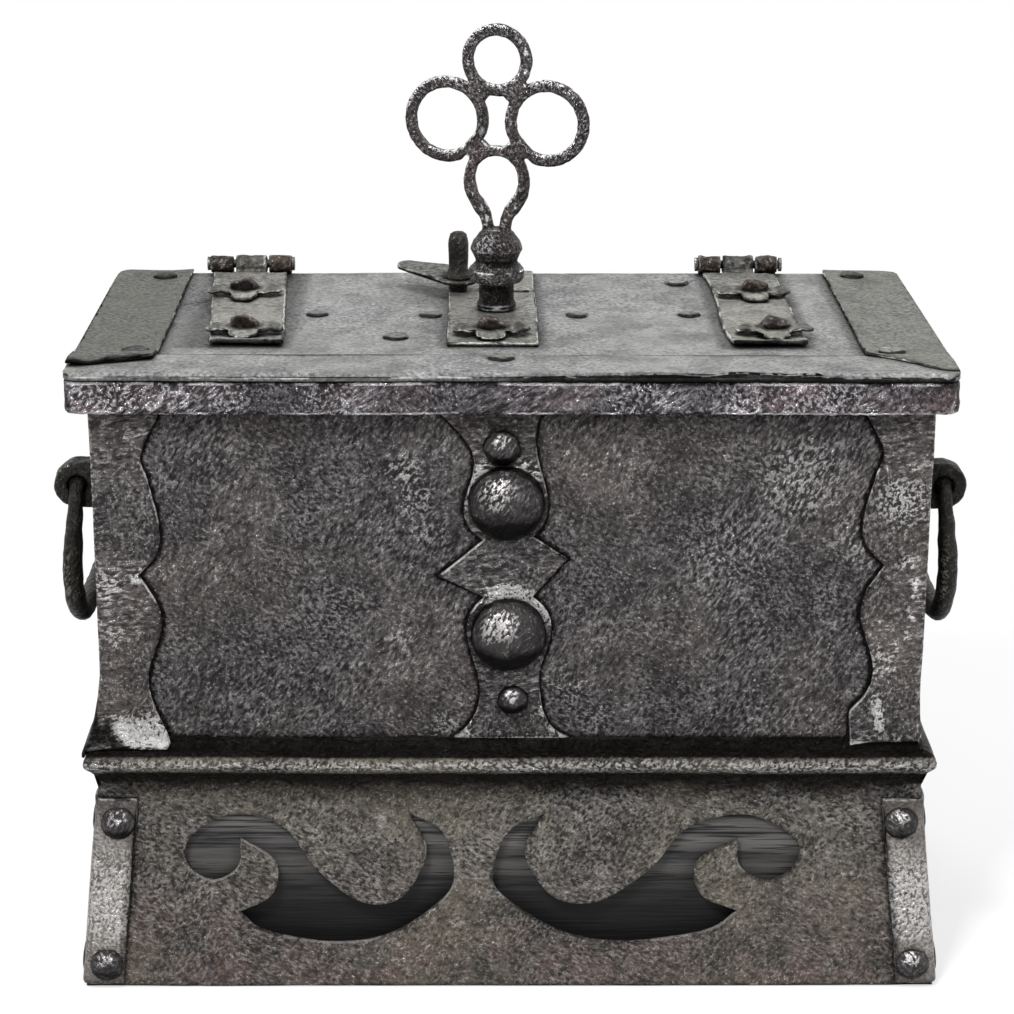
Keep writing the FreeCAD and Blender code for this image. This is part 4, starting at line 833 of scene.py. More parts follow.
def front_edge_strip():
    strip = flat_plate("front_edge_strip", Z, 1, LID, cell=2.2, lift=strip_lift, rag=strip_rag, seed=2.2)
    at = points_of(strip)
    edge_wear = 0.35 * (1 - smooth(np.abs(at[:, Y] - STRIP_BACK), 0.5, 1.5))
    torn = (1 - smooth(at[:, Y], LID_FRONT, LID_FRONT + 0.8)) * smooth(at[:, X], *CURL_START)
    paint(strip, "wear_and_edge_light", edge_wear + 0.75 * torn)
    # Darker patches along the front, and painted shade under the torn, curled front edge.
    darkening = spots(at, [(-128, -75, 227, 16, 0.22), (-90, -76, 227, 20, 0.3), (-60, -76, 227, 12, 0.3)])
    paint(strip, "dirt_and_shade", most(0.9 * torn * smooth(-normals_of(strip)[:, Z], -0.3, 0.2), darkening))


def end_plate(hand, lip_soot, least_soot):
    plate = flat_plate(
        f"{hand}_end_plate", Z, 1, END, cell=2.6, lift=end_lift, rag=1.6, seed=4.4, redraw=longer_end,
    )
    at = points_of(plate)
    rust = smooth([bump_at(u, v, 7, 8.1) for u, v, _ in at], -0.25, 0.15)
    inner, more = END_LAP[hand]
    lap = inner + more * smooth(np.abs(at[:, X]), LID_SIDE - END_WIDTH, LID_SIDE)
    lips = (1 - smooth(at[:, Y] - STRIP_BACK + lap, 2.0, 6.5)) * rust
    paint(plate, "dirt_and_shade", most(lip_soot * lips, least_soot))


lid_sheet()
front_edge_strip()
end_plate("left", 0.9, 0.38)
end_plate("right", 0.5, 0.16)
flat_plate("lock_strap", Z, 1, FIXING, cell=3.0, rag=0.5)

# ---------------------------------------------------------------- front strap


def front_seats(node):
    """(x, z) of each head on the front, lowest first."""
    return sorted(((x, z) for x, _, z in seats_of(node, Y, 0)), key=lambda seat: seat[1])


def ring_highlight(points, middle, outer, turn_low, turn_high):
    """Painted highlight: 1 on a stretch of the ring round a boss; turns are degrees from +x towards up."""
    off = points[:, [X, Z]] - np.array(middle)
    turn = np.degrees(np.arctan2(off[:, 1], off[:, 0])) % 360
    ring = between(np.hypot(*off.T), BOSS_RADIUS - 0.8, BOSS_RADIUS - 0.2, outer, outer + 1.2)
    return ring * between(turn, turn_low - 12, turn_low + 6, turn_high - 6, turn_high + 12)


BOSS_RADIUS = 13.2
low_boss, high_boss = front_seats("front_bosses")


def front_strap():
    strap = flat_plate("front_strap", Y, -1, STRAP, cell=1.3, rim=0.45)
    at = points_of(strap)
    upper_edge_highlights = smooth(normals_of(strap)[:, Z], 0.2, 0.6) * (at[:, Z] < 172)
    toe = spots(at, upright(-68, [(-17, 95, 5, 0.7), (12, 103, 4, 0.8), (16, 98, 4.5, 0.9), (20, 93, 5, 1.0)]))
    # Painted highlights: crescents round the bosses and the strap's upward-facing edges, with brighter toes.
    paint(strap, "polish_and_highlight", most(
        ring_highlight(at, low_boss, 17.5, 20, 118),
        0.75 * ring_highlight(at, high_boss, 16.5, 115, 185),
        0.7 * ring_highlight(at, high_boss, 16.5, 40, 70),
        0.9 * upper_edge_highlights,
        toe,
    ))


front_strap()

# ---------------------------------------------------------------- skirt

# The apron leans out from NECK to APRON, measured from the wall, below the height NECK_LOW.
NECK, APRON, NECK_LOW = 3.0, -box_of("front_skirt")[0][Y] - HALF_DEPTH, 66.0


def arc(middle, radius, start, sweep, count):
    """Points along an arc, without its start."""
    turns = (start + sweep * i / count for i in range(1, count + 1))
    return [(middle[0] + radius * math.cos(a), middle[1] + radius * math.sin(a)) for a in turns]


def skirt_section():
    """(distance out from the wall, height) down the outer face of the rolled sheet."""
    level, lip = BOX_FOOT - 2.8, box_of("front_skirt")[1][Z]
    out, small, big = 3.7, 2.2, 3.8
    turn = math.radians(50)
    throat = (out + big * math.cos(turn) - NECK) / (1 - math.cos(turn))
    points = [(1.5, lip), (1.5, level + big + small)]
    points += arc((out, level + big + small), small, math.pi, math.pi / 2, 6)
    points += arc((out, level), big, math.pi / 2, -math.pi / 2 - turn, 14)
    points += arc((NECK + throat, level - (big + throat) * math.sin(turn)), throat, math.pi - turn, turn, 7)
    return np.array(points + [(NECK, NECK_LOW), (APRON, 0.0)])


SECTION = skirt_section()
RUN = np.concatenate([[0], np.cumsum(np.sqrt((np.diff(SECTION, axis=0) ** 2).sum(1)))])


def section_at(run):
    """Distance out and height a way down the sheet, and the direction that faces outwards there."""
    def spot(r):
        return [np.interp(r, RUN, side) for side in SECTION.T]

    out, height = spot(run)
    ahead, behind = spot(min(run + 0.4, RUN[-1])), spot(max(run - 0.4, 0))
    slope = (ahead[0] - behind[0], ahead[1] - behind[1])
    length = math.hypot(*slope) or 1.0
    return out, height, (-slope[1] / length, slope[0] / length)


def run_at_height(height):
    """Distance down the sheet of a height on the apron."""
    slant = math.hypot(APRON - NECK, NECK_LOW) / NECK_LOW
    return RUN[-2] + (NECK_LOW - height) * (1 if height > NECK_LOW else slant)


SCROLL = [
    [(-76.1, 28.1), (-66.5, 20.9), (-42.5, 16.8), (-22.0, 20.2), (-3.3, 33.4), (0.0, 43.5), (-4.6, 58.0), (-15.5, 64.5)],
    [(-15.5, 64.5), (-9.6, 50.0), (-18.3, 33.6), (-32.3, 31.5), (-48.6, 43.9), (-60.4, 59.6),
     (-79.0, 64.2), (-94.0, 55.0), (-94.0, 45.0), (-85.5, 40.0), (-76.8, 45.0), (-75.8, 55.5)],
    [(-75.8, 55.5), (-63.2, 47.0), (-64.6, 34.5), (-76.1, 28.1)],
]


def scroll_loop(edge, stretch):
    """A pierced scroll's outline on the flat sheet, with its inner end at edge."""
    points = [point for part in SCROLL for point in through(part, 7)]
    return evened([(edge + stretch * x, run_at_height(z)) for x, z in points], 1.2)


def skirt(side, scrolls=()):
    node = f"{side}_skirt"
    cos, sin = {"front": (1, 0), "right": (0, 1), "back": (-1, 0), "left": (0, -1)}[side]
    half, reach = (HALF_WIDTH, HALF_DEPTH) if cos else (HALF_DEPTH, HALF_WIDTH)

    def place(u, v, w):
        out, height, normal = section_at(v)
        y = -(reach + out - w * normal[0])
        return u * cos - y * sin, u * sin + y * cos, max(height - w * normal[1], 0.0)

    levels = np.unique(np.concatenate([RUN, steps(0, RUN[-1], 2.0)]))
    mitre = [(half - 0.25 + section_at(r)[0], r) for r in levels]
    outer = mitre + [(-u, v) for u, v in reversed(mitre)]
    rows = list(RUN[1:-2:2]) + steps(RUN[-2], RUN[-1], 3.2)
    columns = steps(-half - 10, half + 10, 3.6)
    obj = sheet_metal(node + "_sheet", [evened(outer, 2.4), *scrolls], place, 1.5, columns, rows)
    level = points_of(obj)[:, Z]
    # Painted shade under the ridge and in the cove above it, and a painted highlight along the ridge's top.
    paint(obj, "dirt_and_shade", most(0.95 * between(level, 74, 77.5, 80.4, 82.2), smooth(level, 86.9, 88.3)))
    paint(obj, "polish_and_highlight", 0.36 * between(level, 81.6, 83, 86.0, 87.4))
    settle(obj, SKIRT, node, warp=True)


skirt("front", [scroll_loop(-20.0, 1.0), scroll_loop(-5.7, -1.138)])
skirt("back")
skirt("left")
skirt("right")

# ---------------------------------------------------------------- sheets folded round the corners

# Scalloped edge from top to bottom: (width from the corner, share of the height).
UPPER_WAVE = [(25.5, 1.0), (17.5, 0.86), (19.5, 0.78), (23.0, 0.64), (21.5, 0.56), (15.2, 0.5)]
LEFT_WAVE = [(15.2, 0.5), (21.0, 0.42), (22.5, 0.34), (17.5, 0.2), (18.5, 0.11), (24.0, 0.0)]
RIGHT_WAVE = LEFT_WAVE[:4] + [(19.5, 0.125), (24.5, 0.075), (24.2, 0.0)]
# How far the foot flares out, by height above the strap's lower end.
FRONT_FLARE = [(-3.6, 3.6), (-1.5, 2.6), (0.3, 1.75), (3, 0.9), (9, 0)]
FLANK_FLARE = [(-7.8, 7.4), (-5, 7.2), (-2, 6.1), (0, 4.9), (7, 2.7), (15, 1.0), (23, 0)]
# Spots of painted highlight on the corner straps' fronts, with worn scratches and edges among them (x, z, radius,
# strength).
LEFT_WEAR_AND_HIGHLIGHTS = [(-139.5, 149, 9, 0.34), (-137, 132, 8, 0.22), (-129, 152.5, 3.2, 0.7), (-127, 155, 2.4, 0.6)]
RIGHT_WEAR_AND_HIGHLIGHTS = [
    (133, 180, 13, 0.4), (127, 122, 9, 0.36), (136, 158, 4, 0.5), (139, 151, 3, 0.75), (139, 146, 2.5, 0.7),
    (138, 139, 2.5, 0.7), (137.5, 132, 2, 0.6),
]


def flare_at(above, table):
    return float(np.interp(above, *zip(*table)))


def corner_strap(side_x, side_y, node):
    """Scalloped strap folded round a corner of the box; returns its outline on the front face."""
    on_left = side_x < 0
    (_, _, bottom), (_, _, top) = box_of(node)
    radius = 2.0
    half_arc = radius * math.pi / 4
    x_edge, y_edge = HALF_WIDTH + STRAP_THICK, HALF_DEPTH + STRAP_THICK
    front_foot, flank_foot = bottom - (3.6 if on_left else 1.0), bottom - 7.8
    lower = LEFT_WAVE if on_left else RIGHT_WAVE
    wave = through(UPPER_WAVE, 9) + through(lower, 9) + [lower[-1]]
    raised = 0 if on_left else 0.03
    wave = [(d, bottom + (s + raised * math.sin(math.pi * s)) * (top - bottom)) for d, s in wave]
    front_side = [(-(d - radius + half_arc), z) for d, z in wave]
    flank_side = [(0.8 * d - radius + half_arc, z) for d, z in wave]
    end = front_side[-1][0]
    toe = [(end - 0.3, bottom - 1.5), (end + 1.0, front_foot), (-6.0, front_foot + 0.2), (-1.5, front_foot + 0.5)]
    heel = [(1.5, flank_foot + 0.8), (6.0, flank_foot), (flank_side[-1][0], flank_foot + 0.6)]

    def place(u, v, w):
        front_out = flare_at(max(v, front_foot) - bottom, FRONT_FLARE) if v >= front_foot else FRONT_FLARE[0][1]
        flank_out = flare_at(v - bottom, FLANK_FLARE) * (1.0 if on_left else 0.3)
        x, y = folded(u, radius, x_edge, y_edge, w, flank_out, front_out)
        return side_x * x, side_y * y, v

    rows = steps(flank_foot, bottom + 24, 1.7) + steps(bottom + 24, top, 2.4)[1:]
    bend = [-half_arc / 2, 0.0, half_arc / 2]
    columns = steps(-26, -half_arc - 0.2, 2.0) + bend + steps(half_arc + 0.2, 22, 2.0)
    loop = evened(front_side + toe + heel + flank_side[::-1], 1.5)
    obj = sheet_metal(
        node + "_sheet", [loop], place, STRAP_THICK, columns, rows, 0.45, 0.45, seed=side_x * 3 + side_y,
    )
    strap_wear_and_light(obj, on_left, side_y, front_foot)
    settle(obj, STRAP, node, warp=True)
    outer = [(side_x * (x_edge - 2), front_foot), (side_x * (x_edge - 2), top + 2)]
    return [(side_x * (x_edge - d), z) for d, z in wave] + outer


def strap_wear_and_light(obj, on_left, side_y, front_foot):
    """Bright foot and edges, and a dark flank and lower end. The worn foot carries a painted highlight, the fold and
    the upward edges get painted highlights, and the flank gets painted shade.
    """
    at = points_of(obj)
    outward = np.abs(at[:, X]) - HALF_WIDTH - STRAP_THICK
    inward, above = -outward, at[:, Z] - front_foot
    on_front = (np.abs(at[:, Y]) > HALF_DEPTH - 0.2) & (outward < 0.4)
    if on_left:
        corner = np.hypot((np.minimum(inward, 15.0) - 15.0) / 12.5, (np.minimum(above, 11.0) - 11.0) / 11.5)
        patch = (1 - smooth(corner, 0.86, 1.04)) * (1 - smooth(above, 6.5, 15))
        below = (1 - patch) * (1 - smooth(above, 8, 16))
    else:
        patch = 0.95 * (1 - smooth(np.abs(inward - 13 - 0.16 * above), 0.8, 2.6)) * between(above, 3, 5, 12, 20)
        below = 0.3 * (1 - smooth(above, 2, 9))
    glints = 0.3 * (1 - smooth(inward, 0.0, 1.6)) * smooth(at[:, Z], 100, 130)
    lamp_side = spots(at, upright(side_y * (HALF_DEPTH + 1), LEFT_WEAR_AND_HIGHLIGHTS if on_left else RIGHT_WEAR_AND_HIGHLIGHTS))
    upper_edge_highlight = 0.8 * smooth(normals_of(obj)[:, Z], 0.25, 0.6) * (at[:, Z] < 156)
    paint(obj, "polish_and_highlight", most(np.where(on_front, patch, 0), glints, lamp_side, upper_edge_highlight))
    # Painted shade on the flank, deeper where the foot flares out.
    hidden = (np.abs(at[:, Y]) < HALF_DEPTH - 0.6) * (0.42 + 0.43 * (1 - smooth(at[:, Z], 95, 185)))
    paint(obj, "dirt_and_shade", np.where(on_front, 0.9 * below, most(hidden, 0.95 * smooth(outward, 0.1, 1.8))))


ANGLE_THICK, ANGLE_WIDTH = 1.3, 15.0


def skirt_out(height):
    """Distance from the wall of the apron's face."""
    return NECK + (APRON - NECK) * (1 - min(height, NECK_LOW) / NECK_LOW)


def skirt_angle(side_x, side_y, node):
    """Plain angle folded round a corner of the skirt."""
    (_, _, bottom), (_, _, top) = box_of(node)
    radius = 1.8
    half_arc = radius * math.pi / 4
    reach = ANGLE_WIDTH - radius + half_arc
    side = [(reach, bottom), (reach - 0.4, bottom + 4), (reach, top)]
    loop = [(-u, v) for u, v in reversed(side)] + side

    def place(u, v, w):
        share = min(max(abs(u) - half_arc, 0.0) / (reach - half_arc), 1.0)
        out = skirt_out(v) + ANGLE_THICK + 0.55 * math.sin(math.pi * share) ** 0.7
        x, y = folded(u, radius, HALF_WIDTH + out, HALF_DEPTH + out, w)
        return side_x * x, side_y * y, v

    columns = steps(-reach, -half_arc, 1.8) + [0.0] + steps(half_arc, reach, 1.8)
    obj = sheet_metal(
        node + "_sheet", [evened(loop, EVEN_STEP)], place, ANGLE_THICK, columns, steps(bottom, top, 2.2),
        0.35, 0.5, seed=side_x + 5 * side_y,
    )
    level = points_of(obj)[:, Z]
    # A brighter band across the middle, darker top and bottom ends, and a darker border.
    paint(obj, "polish_and_highlight", 0.42 * between(level, 12, 24, 40, 56))
    darkening = 0.5 * smooth(level, 58, 70) + 0.3 * (1 - smooth(level, 4, 14))
    paint(obj, "dirt_and_shade", most(darkening, 0.5 * smooth(wear_of(obj), 0.2, 0.35)))
    settle(obj, ANGLE, node, warp=True)


seams = outline_of("front_strap", Y, -1)
for end, side_y in (("front", -1), ("back", 1)):
    for hand, side_x in (("left", -1), ("right", 1)):
        seam = corner_strap(side_x, side_y, f"{end}_{hand}_corner_strap")
        if side_y < 0:
            seams.append(seam)
        skirt_angle(side_x, side_y, f"{end}_{hand}_skirt_angle")

at = points_of(front)[:, [X, Z]]
# Painted shadow along the straps' outlines on the front plate, and painted shade at its top under the lid.
strap_edge_shadow = 0.95 * (1 - smooth(distance_to(at, *segments_of(seams)), 0.6, 1.7))
paint(front, "dirt_and_shade", most(strap_edge_shadow, 0.5 * smooth(at[:, 1], 205, 214)))

# ---------------------------------------------------------------- rivets, nails and rosettes

FRONT_SEAT = -HALF_DEPTH - STRAP_THICK
TOWARDS, BACKWARDS, UP = (0, -1, 0), (0, 1, 0), (0, 0, 1)


def ring_of(radius, count):
    """(x, y) of points evenly round a circle."""
    return [(radius * math.cos(math.tau * k / count), radius * math.sin(math.tau * k / count)) for k in range(count)]


def hammer_flats(radius, height, count, cut, seed):
    """Planes (direction, distance) that flatten a head."""
    planes = []
    for i in range(count):
        turn, lean = 2.399 * i + seed, math.radians(18 + 50 * ((i * 0.618 + seed * 0.37) % 1))
        facing = Vector((math.cos(turn) * math.sin(lean), math.sin(turn) * math.sin(lean), math.cos(lean)))
        planes.append((facing, cut * math.hypot(radius * math.sin(lean), height * math.cos(lean))))
    return planes


def add_head(work, seat, out, seed, radius, height, square=1.0, facets=0, cut=0.9):
    """Hammered rivet head. square above 1 makes it blunter; facets are flats left by the hammer."""
    rings, around = 9, 26
    basis = Vector(out).to_track_quat("Z", "Y").to_matrix()
    planes = hammer_flats(radius, height, facets, cut, seed)

    def vertex(p):
        return work.verts.new((Vector(seat) + basis @ p) * MM)

    grid = []
    for ring in range(rings + 1):
        fall = math.pi / 2 * ring / rings
        z = height * math.cos(fall) ** (1 / square)
        row = []
        for x, y in ring_of(radius * math.sin(fall) ** (1 / square), around)[:around if ring else 1]:
            p = Vector((x, y, z))
            for facing, limit in planes:
                p -= facing * max(p.dot(facing) - limit, 0.0) * 0.9
            p *= 1 + 0.045 * noise.noise(Vector((p.x / 2.6 + seed, p.y / 2.6, p.z / 2.6)))
            p.z = max(p.z, 0.0)
            row.append(vertex(p))
        grid.append(row)
    grid.append([vertex(Vector((x, y, -0.5))) for x, y in ring_of(radius * 0.99, around)])
    for k in range(around):
        after = (k + 1) % around
        work.faces.new((grid[0][0], grid[1][k], grid[1][after]))
        for a, b in zip(grid[1:], grid[2:]):
            work.faces.new((a[k], b[k], b[after], a[after]))
    work.faces.new(grid[-1][::-1])


def heads(name, node, material, items, shade=(0, 0, -1), shine=0.5, dark_sides=False):
    """One piece with a head for each (seat, direction, settings); shade is the side painted dark as shade,
    dark_sides also paints shade round the sides, and shine weighs a painted highlight on the faces that turn up
    towards the front.
    """
    work = bmesh.new()
    for i, (seat, out, settings) in enumerate(items):
        add_head(work, seat, out, i * 1.7 + len(name), **settings)
    obj = new_object(name, work)
    normals = normals_of(obj)
    dirt_and_shade = 0.95 * smooth(normals @ np.array(shade, float), 0.0, 0.5)
    if dark_sides:
        dirt_and_shade = most(dirt_and_shade, 0.9 * smooth(normals[:, Y], -0.62, -0.2))
    paint(obj, "dirt_and_shade", dirt_and_shade)
    paint(obj, "polish_and_highlight", shine * smooth(normals @ np.array([-0.1, -0.85, 0.52]), 0.84, 0.99))
    return settle(obj, material, node, warp=True)


def front_heads():
    boss = dict(radius=BOSS_RADIUS, height=9.0, facets=9, cut=0.985)
    seats = [((x, FRONT_SEAT, z), TOWARDS, boss) for x, z in (low_boss, high_boss)]
    bosses = heads("bosses", "front_bosses", RIVET, seats, dark_sides=True)
    # Painted highlight on the bosses, stronger on the lower one.
    gleam = smooth(normals_of(bosses) @ np.array([-0.25, -0.88, 0.4]), 0.86, 0.99)
    upper = points_of(bosses)[:, Z] > (low_boss[1] + high_boss[1]) / 2
    paint(bosses, "polish_and_highlight", gleam * np.where(upper, 0.3, 0.55))
    rivets = [
        ((x, FRONT_SEAT, z), TOWARDS, dict(radius=6.2 if z > 150 else 5.4, height=4.2, facets=6, cut=0.93))
        for x, z in front_seats("front_rivets")
    ]
    heads("strap_rivets", "front_rivets", RIVET, rivets, shine=0.4, dark_sides=True)


def skirt_rivets():
    """Heads on the skirt's corner angles: tall on the front and back, low on the flanks."""
    items = []
    lean = math.atan2(APRON - NECK, NECK_LOW)
    inset = 7.5 + ANGLE_THICK
    for level in (9.0, 62.0):
        out = skirt_out(level) + ANGLE_THICK + 0.45
        edge_x, edge_y = HALF_WIDTH + out, HALF_DEPTH + out
        for sx in (-1, 1):
            for sy in (-1, 1):
                for seat, facing, height in (
                    ((sx * (edge_x - inset), sy * edge_y, level), (0, sy * math.cos(lean), math.sin(lean)), 3.4),
                    ((sx * edge_x, sy * (edge_y - inset), level), (sx * math.cos(lean), 0, math.sin(lean)), 0.7),
                ):
                    items.append((seat, facing, dict(radius=6.0, height=height, facets=9)))
    # Painted shade on the heads' undersides and a painted highlight on their upper faces.
    heads("skirt_rivet_heads", "skirt_rivets", RIVET, items, shine=0.35)


def lid_nails():
    end_inner = LID_SIDE - 32

    def raised(x, y):
        """The nails through an end plate's lap stand on it."""
        return 0.2 if abs(x) < end_inner or y > STRIP_BACK else 2.3 if x < 0 else 1.5

    nail = dict(radius=4.7, height=1.0, square=2.0, facets=3)
    items = [((x, y, z + raised(x, y)), UP, nail) for x, y, z in seats_of("lid_nails", Z, 0.8)]
    piece = heads("nail_heads", "lid_nails", FIXING, items, shine=0.0)
    at = points_of(piece)
    rusty = (at[:, X] < -end_inner) | ((at[:, X] > end_inner) & (at[:, Y] > 0))
    # Painted shade on the heads' front sides; the nails on the end plates are darker.
    paint(piece, "dirt_and_shade", 0.95 * most(smooth(-normals_of(piece)[:, Y], 0.0, 0.45), 0.75 * rusty))


def small_heads():
    rivet = dict(radius=4.2, height=1.1, square=2.2, facets=2)
    items = [(seat, UP, rivet) for seat in seats_of("lock_rivets", Z, 0.8)]
    # Painted shade on the front of the lock rivets and a faint painted highlight.
    heads("lock_rivet_heads", "lock_rivets", LID, items, (0, -0.95, 0.2), 0.2)
    rivet = dict(radius=3.6, height=1.8, facets=4)
    items = [(seat, BACKWARDS, rivet) for seat in seats_of("leaf_rivets", Y, 1.4)]
    # Painted shade on the leaf rivets' undersides.
    heads("leaf_rivet_heads", "leaf_rivets", RIVET, items)


def lobes(count=84):
    """Outline of a four-lobed washer, wider sideways."""
    quarter = math.pi / 2
    circles = [(0.0, 0.0, 7.6), (8.6, 0.0, 5.3), (8.6, math.pi, 5.3), (6.02, quarter, 5.4), (6.02, -quarter, 5.4)]
    ring = []
    for turn in (math.tau * i / count for i in range(count)):
        best = 0.0
        for away, angle, radius in circles:
            off = away * math.sin(turn - angle)
            if abs(off) < radius:
                best = max(best, away * math.cos(turn - angle) + math.sqrt(radius ** 2 - off ** 2))
        ring.append((best * math.cos(turn), best * math.sin(turn)))
    return ring


def rosette(i, x, y, seat):
    """Washer whose side lobes are hammered up into humps."""
    def place(u, v, w):
        away, aside = math.hypot(u, v), ease(abs(u), 5.5, 9.5)
        hump = aside * (1.4 + 1.0 * bump_at(u, v, 5, i + 0.5)) * (1 - 0.55 * ease(away, 11.0, 14.5))
        tent = 1.5 * (1 - ease(away, 5.0, 12.0)) * (1 - aside)
        return x + u, y + v, seat + 1.3 - w + hump + tent + 0.25 * bump_at(u, v, 3.4, i * 2.1)

    columns, rows = steps(-15, 15, 1.5), steps(-12, 12, 1.5)
    obj = sheet_metal(f"rosette_{i}", [lobes()], place, 1.2, columns, rows, rag=1.4, seed=i * 1.9)
    at = points_of(obj) - np.array([x, y, 0])
    away = np.hypot(at[:, X], at[:, Y])
    under = 0.85 * smooth(-normals_of(obj)[:, Z], 0.1, 0.5)
    side = 0.55 * smooth(np.abs(at[:, X]), 6.5, 8.5) * (1 - smooth(away, 12.0, 13.6))
    # Painted shade round the rivet head and on the undersides, and darker side lobes.
    paint(obj, "dirt_and_shade", most(0.85 * (1 - smooth(away, 5.8, 7.6)), under, side))
    return settle(obj, FIXING, "strap_rosettes", warp=True, replaces=i == 0)


def rosettes():
    places = [(*(low + high)[:2] / 2, low[Z]) for low, high in solids_of("strap_rosettes")]
    for i, (x, y, seat) in enumerate(places):
        rosette(i, x, y, seat)
    block = dict(radius=5.6, height=4.8, square=2.8, facets=7)
    items = [((x, y, seat + 1.6), UP, block) for x, y, seat in places]
    # Painted shade on the rosette rivet heads' fronts and undersides.
    heads("rosette_rivet_heads", "rosette_rivets", BLOCK, items, (0, -0.9, -0.3), 0.0)


front_heads()
skirt_rivets()
lid_nails()
small_heads()
rosettes()

# ---------------------------------------------------------------- handles and the cover


def tube(name, rings):
    """Solid through rings of points, each joined to the next."""
    work = bmesh.new()
    rings = [[work.verts.new(Vector(p) * MM) for p in ring] for ring in rings]
    for a, b in zip(rings, rings[1:]):
        for k in range(len(a)):
            after = (k + 1) % len(a)
            work.faces.new((a[k], a[after], b[after], b[k]))
    work.faces.new(rings[0][::-1])
    work.faces.new(rings[-1])
    return new_object(name, work)


def rod(name, path, radii, seed):
    """Bar with a changing radius along a path, hammered a little."""
    side = Vector((1, 0, 0))
    rings = []
    for i, (p, radius) in enumerate(zip(path, radii)):
        ahead = (path[min(i + 1, len(path) - 1)] - path[max(i - 1, 0)]).normalized()
        side = (side - ahead * side.dot(ahead)).normalized()
        other = ahead.cross(side)
        ring = []
        for x, y in ring_of(1.0, 14):
            spoke = side * x + other * y
            q = p + spoke * radius
            ring.append(q + spoke * 0.12 * radius * noise.noise(q / 4.5 + Vector((seed, 0, 0))))
        rings.append(ring)
    return tube(name, rings)


def handle(hand, side):
    """Bail that bows away from the wall and thickens downwards."""
    node = f"{hand}_handle"
    _, _, pivot_z = pivot_of[node + "_swing"]
    pivot_x = HALF_WIDTH + 9.2
    drop = pivot_z - (box_of(node)[0][Z] + 3.25)
    knots = [
        (0, -36.3, 0), (0, -42, 0), (0, -46.5, -0.4), (0.1, -49.3, -3.2), (0.5, -50, -9), (1.6, -50.1, -20),
        (2.3, -49.9, -31), (1.9, -48.5, -drop + 8.5), (1.2, -43.5, -drop + 2.0), (0.8, -35, -drop),
        (0.6, -18, -drop - 0.2), (0.6, 0, -drop),
    ]
    mirrored = (knots[-2][X], -knots[-2][Y], knots[-2][Z])
    line = [Vector(p) for p in through(knots, 6, beyond=mirrored)] + [Vector(knots[-1])]
    line += [Vector((p.x, -p.y, p.z)) for p in reversed(line[:-1])]
    radii = []
    for p in line:
        depth = -p.z / drop
        bar = 2.5 + 0.3 * ease(depth, 0.0, 0.25) + 0.75 * ease(depth, 0.15, 0.55)
        collar = 3.3 * (1 - ease(abs(abs(p.y) - 41.0), 4.2, 5.4)) * (depth < 0.06)
        radii.append(max(bar, collar))
    path = [Vector((side * (pivot_x + p.x), p.y, pivot_z + p.z)) for p in line]
    obj = rod(node + "_bar", path, radii, side * 2.0)
    # Painted highlight on the side of the bar that faces the front lights.
    lit_side = smooth(normals_of(obj) @ np.array([-0.55, -0.8, 0.2]), 0.75, 0.98)
    paint(obj, "polish_and_highlight", 0.3 * lit_side * between(points_of(obj)[:, Z], 128, 138, 150, 165))
    settle(obj, HANDLE, node)


PIVOT = [(low + high) / 2 for low, high in zip(*box_of("cover_knob"))]


def cover_knob():
    """Peg turned on an upright axis, slightly uneven."""
    seat, top = box_of("slot_cover")[1][Z], box_of("cover_knob")[1][Z]
    profile = [
        (2.2, seat - 14), (2.2, seat - 0.2), (5.6, seat + 0.02), (5.7, seat + 0.7), (4.4, seat + 1.8),
        (3.6, seat + 3.4), (3.55, seat + 7), (3.75, top - 5), (3.7, top - 3), (3.1, top - 1.2), (1.9, top - 0.3),
        (0.6, top),
    ]
    rings = []
    for radius, z in profile:
        lumps = [(x, y, 1 + 0.12 * noise.noise(Vector((x * 1.3, y * 1.3, z / 3.0)))) for x, y in ring_of(1.0, 22)]
        rings.append([(PIVOT[X] + radius * lump * x, PIVOT[Y] + radius * lump * y, z) for x, y, lump in lumps])
    settle(tube("knob", rings), HANDLE, "cover_knob")


def cover_lift(u, v):
    """The leaf sags towards its tip and leans to the front."""
    away = math.hypot(u - PIVOT[X], v - PIVOT[Y])
    tilt = 0.17 * (v - PIVOT[Y]) * ease(away, 5, 11)
    return 0.4 * ease(away, 4, 10) - 1.6 * ease(away, 8, 26) + tilt + 0.3 * bump_at(u, v, 5, 2.7)


def slot_cover():
    leaf = flat_plate("slot_cover", Z, 1, FIXING, cell=1.6, lift=cover_lift, rag=0.5)
    at = points_of(leaf)
    round_peg = 1 - smooth(np.hypot(at[:, X] - PIVOT[X], at[:, Y] - PIVOT[Y]), 5.5, 9)
    # A darker tone, darker round the peg, and painted shade on the underside.
    paint(leaf, "dirt_and_shade", most(0.42 + 0.4 * round_peg, 0.9 * smooth(-normals_of(leaf)[:, Z], 0.0, 0.4)))


handle("left", -1)
handle("right", 1)
cover_knob()
slot_cover()

# ---------------------------------------------------------------- forged pieces

BOW_TURN = math.radians(15)
STRAP_SIDE = 103.0


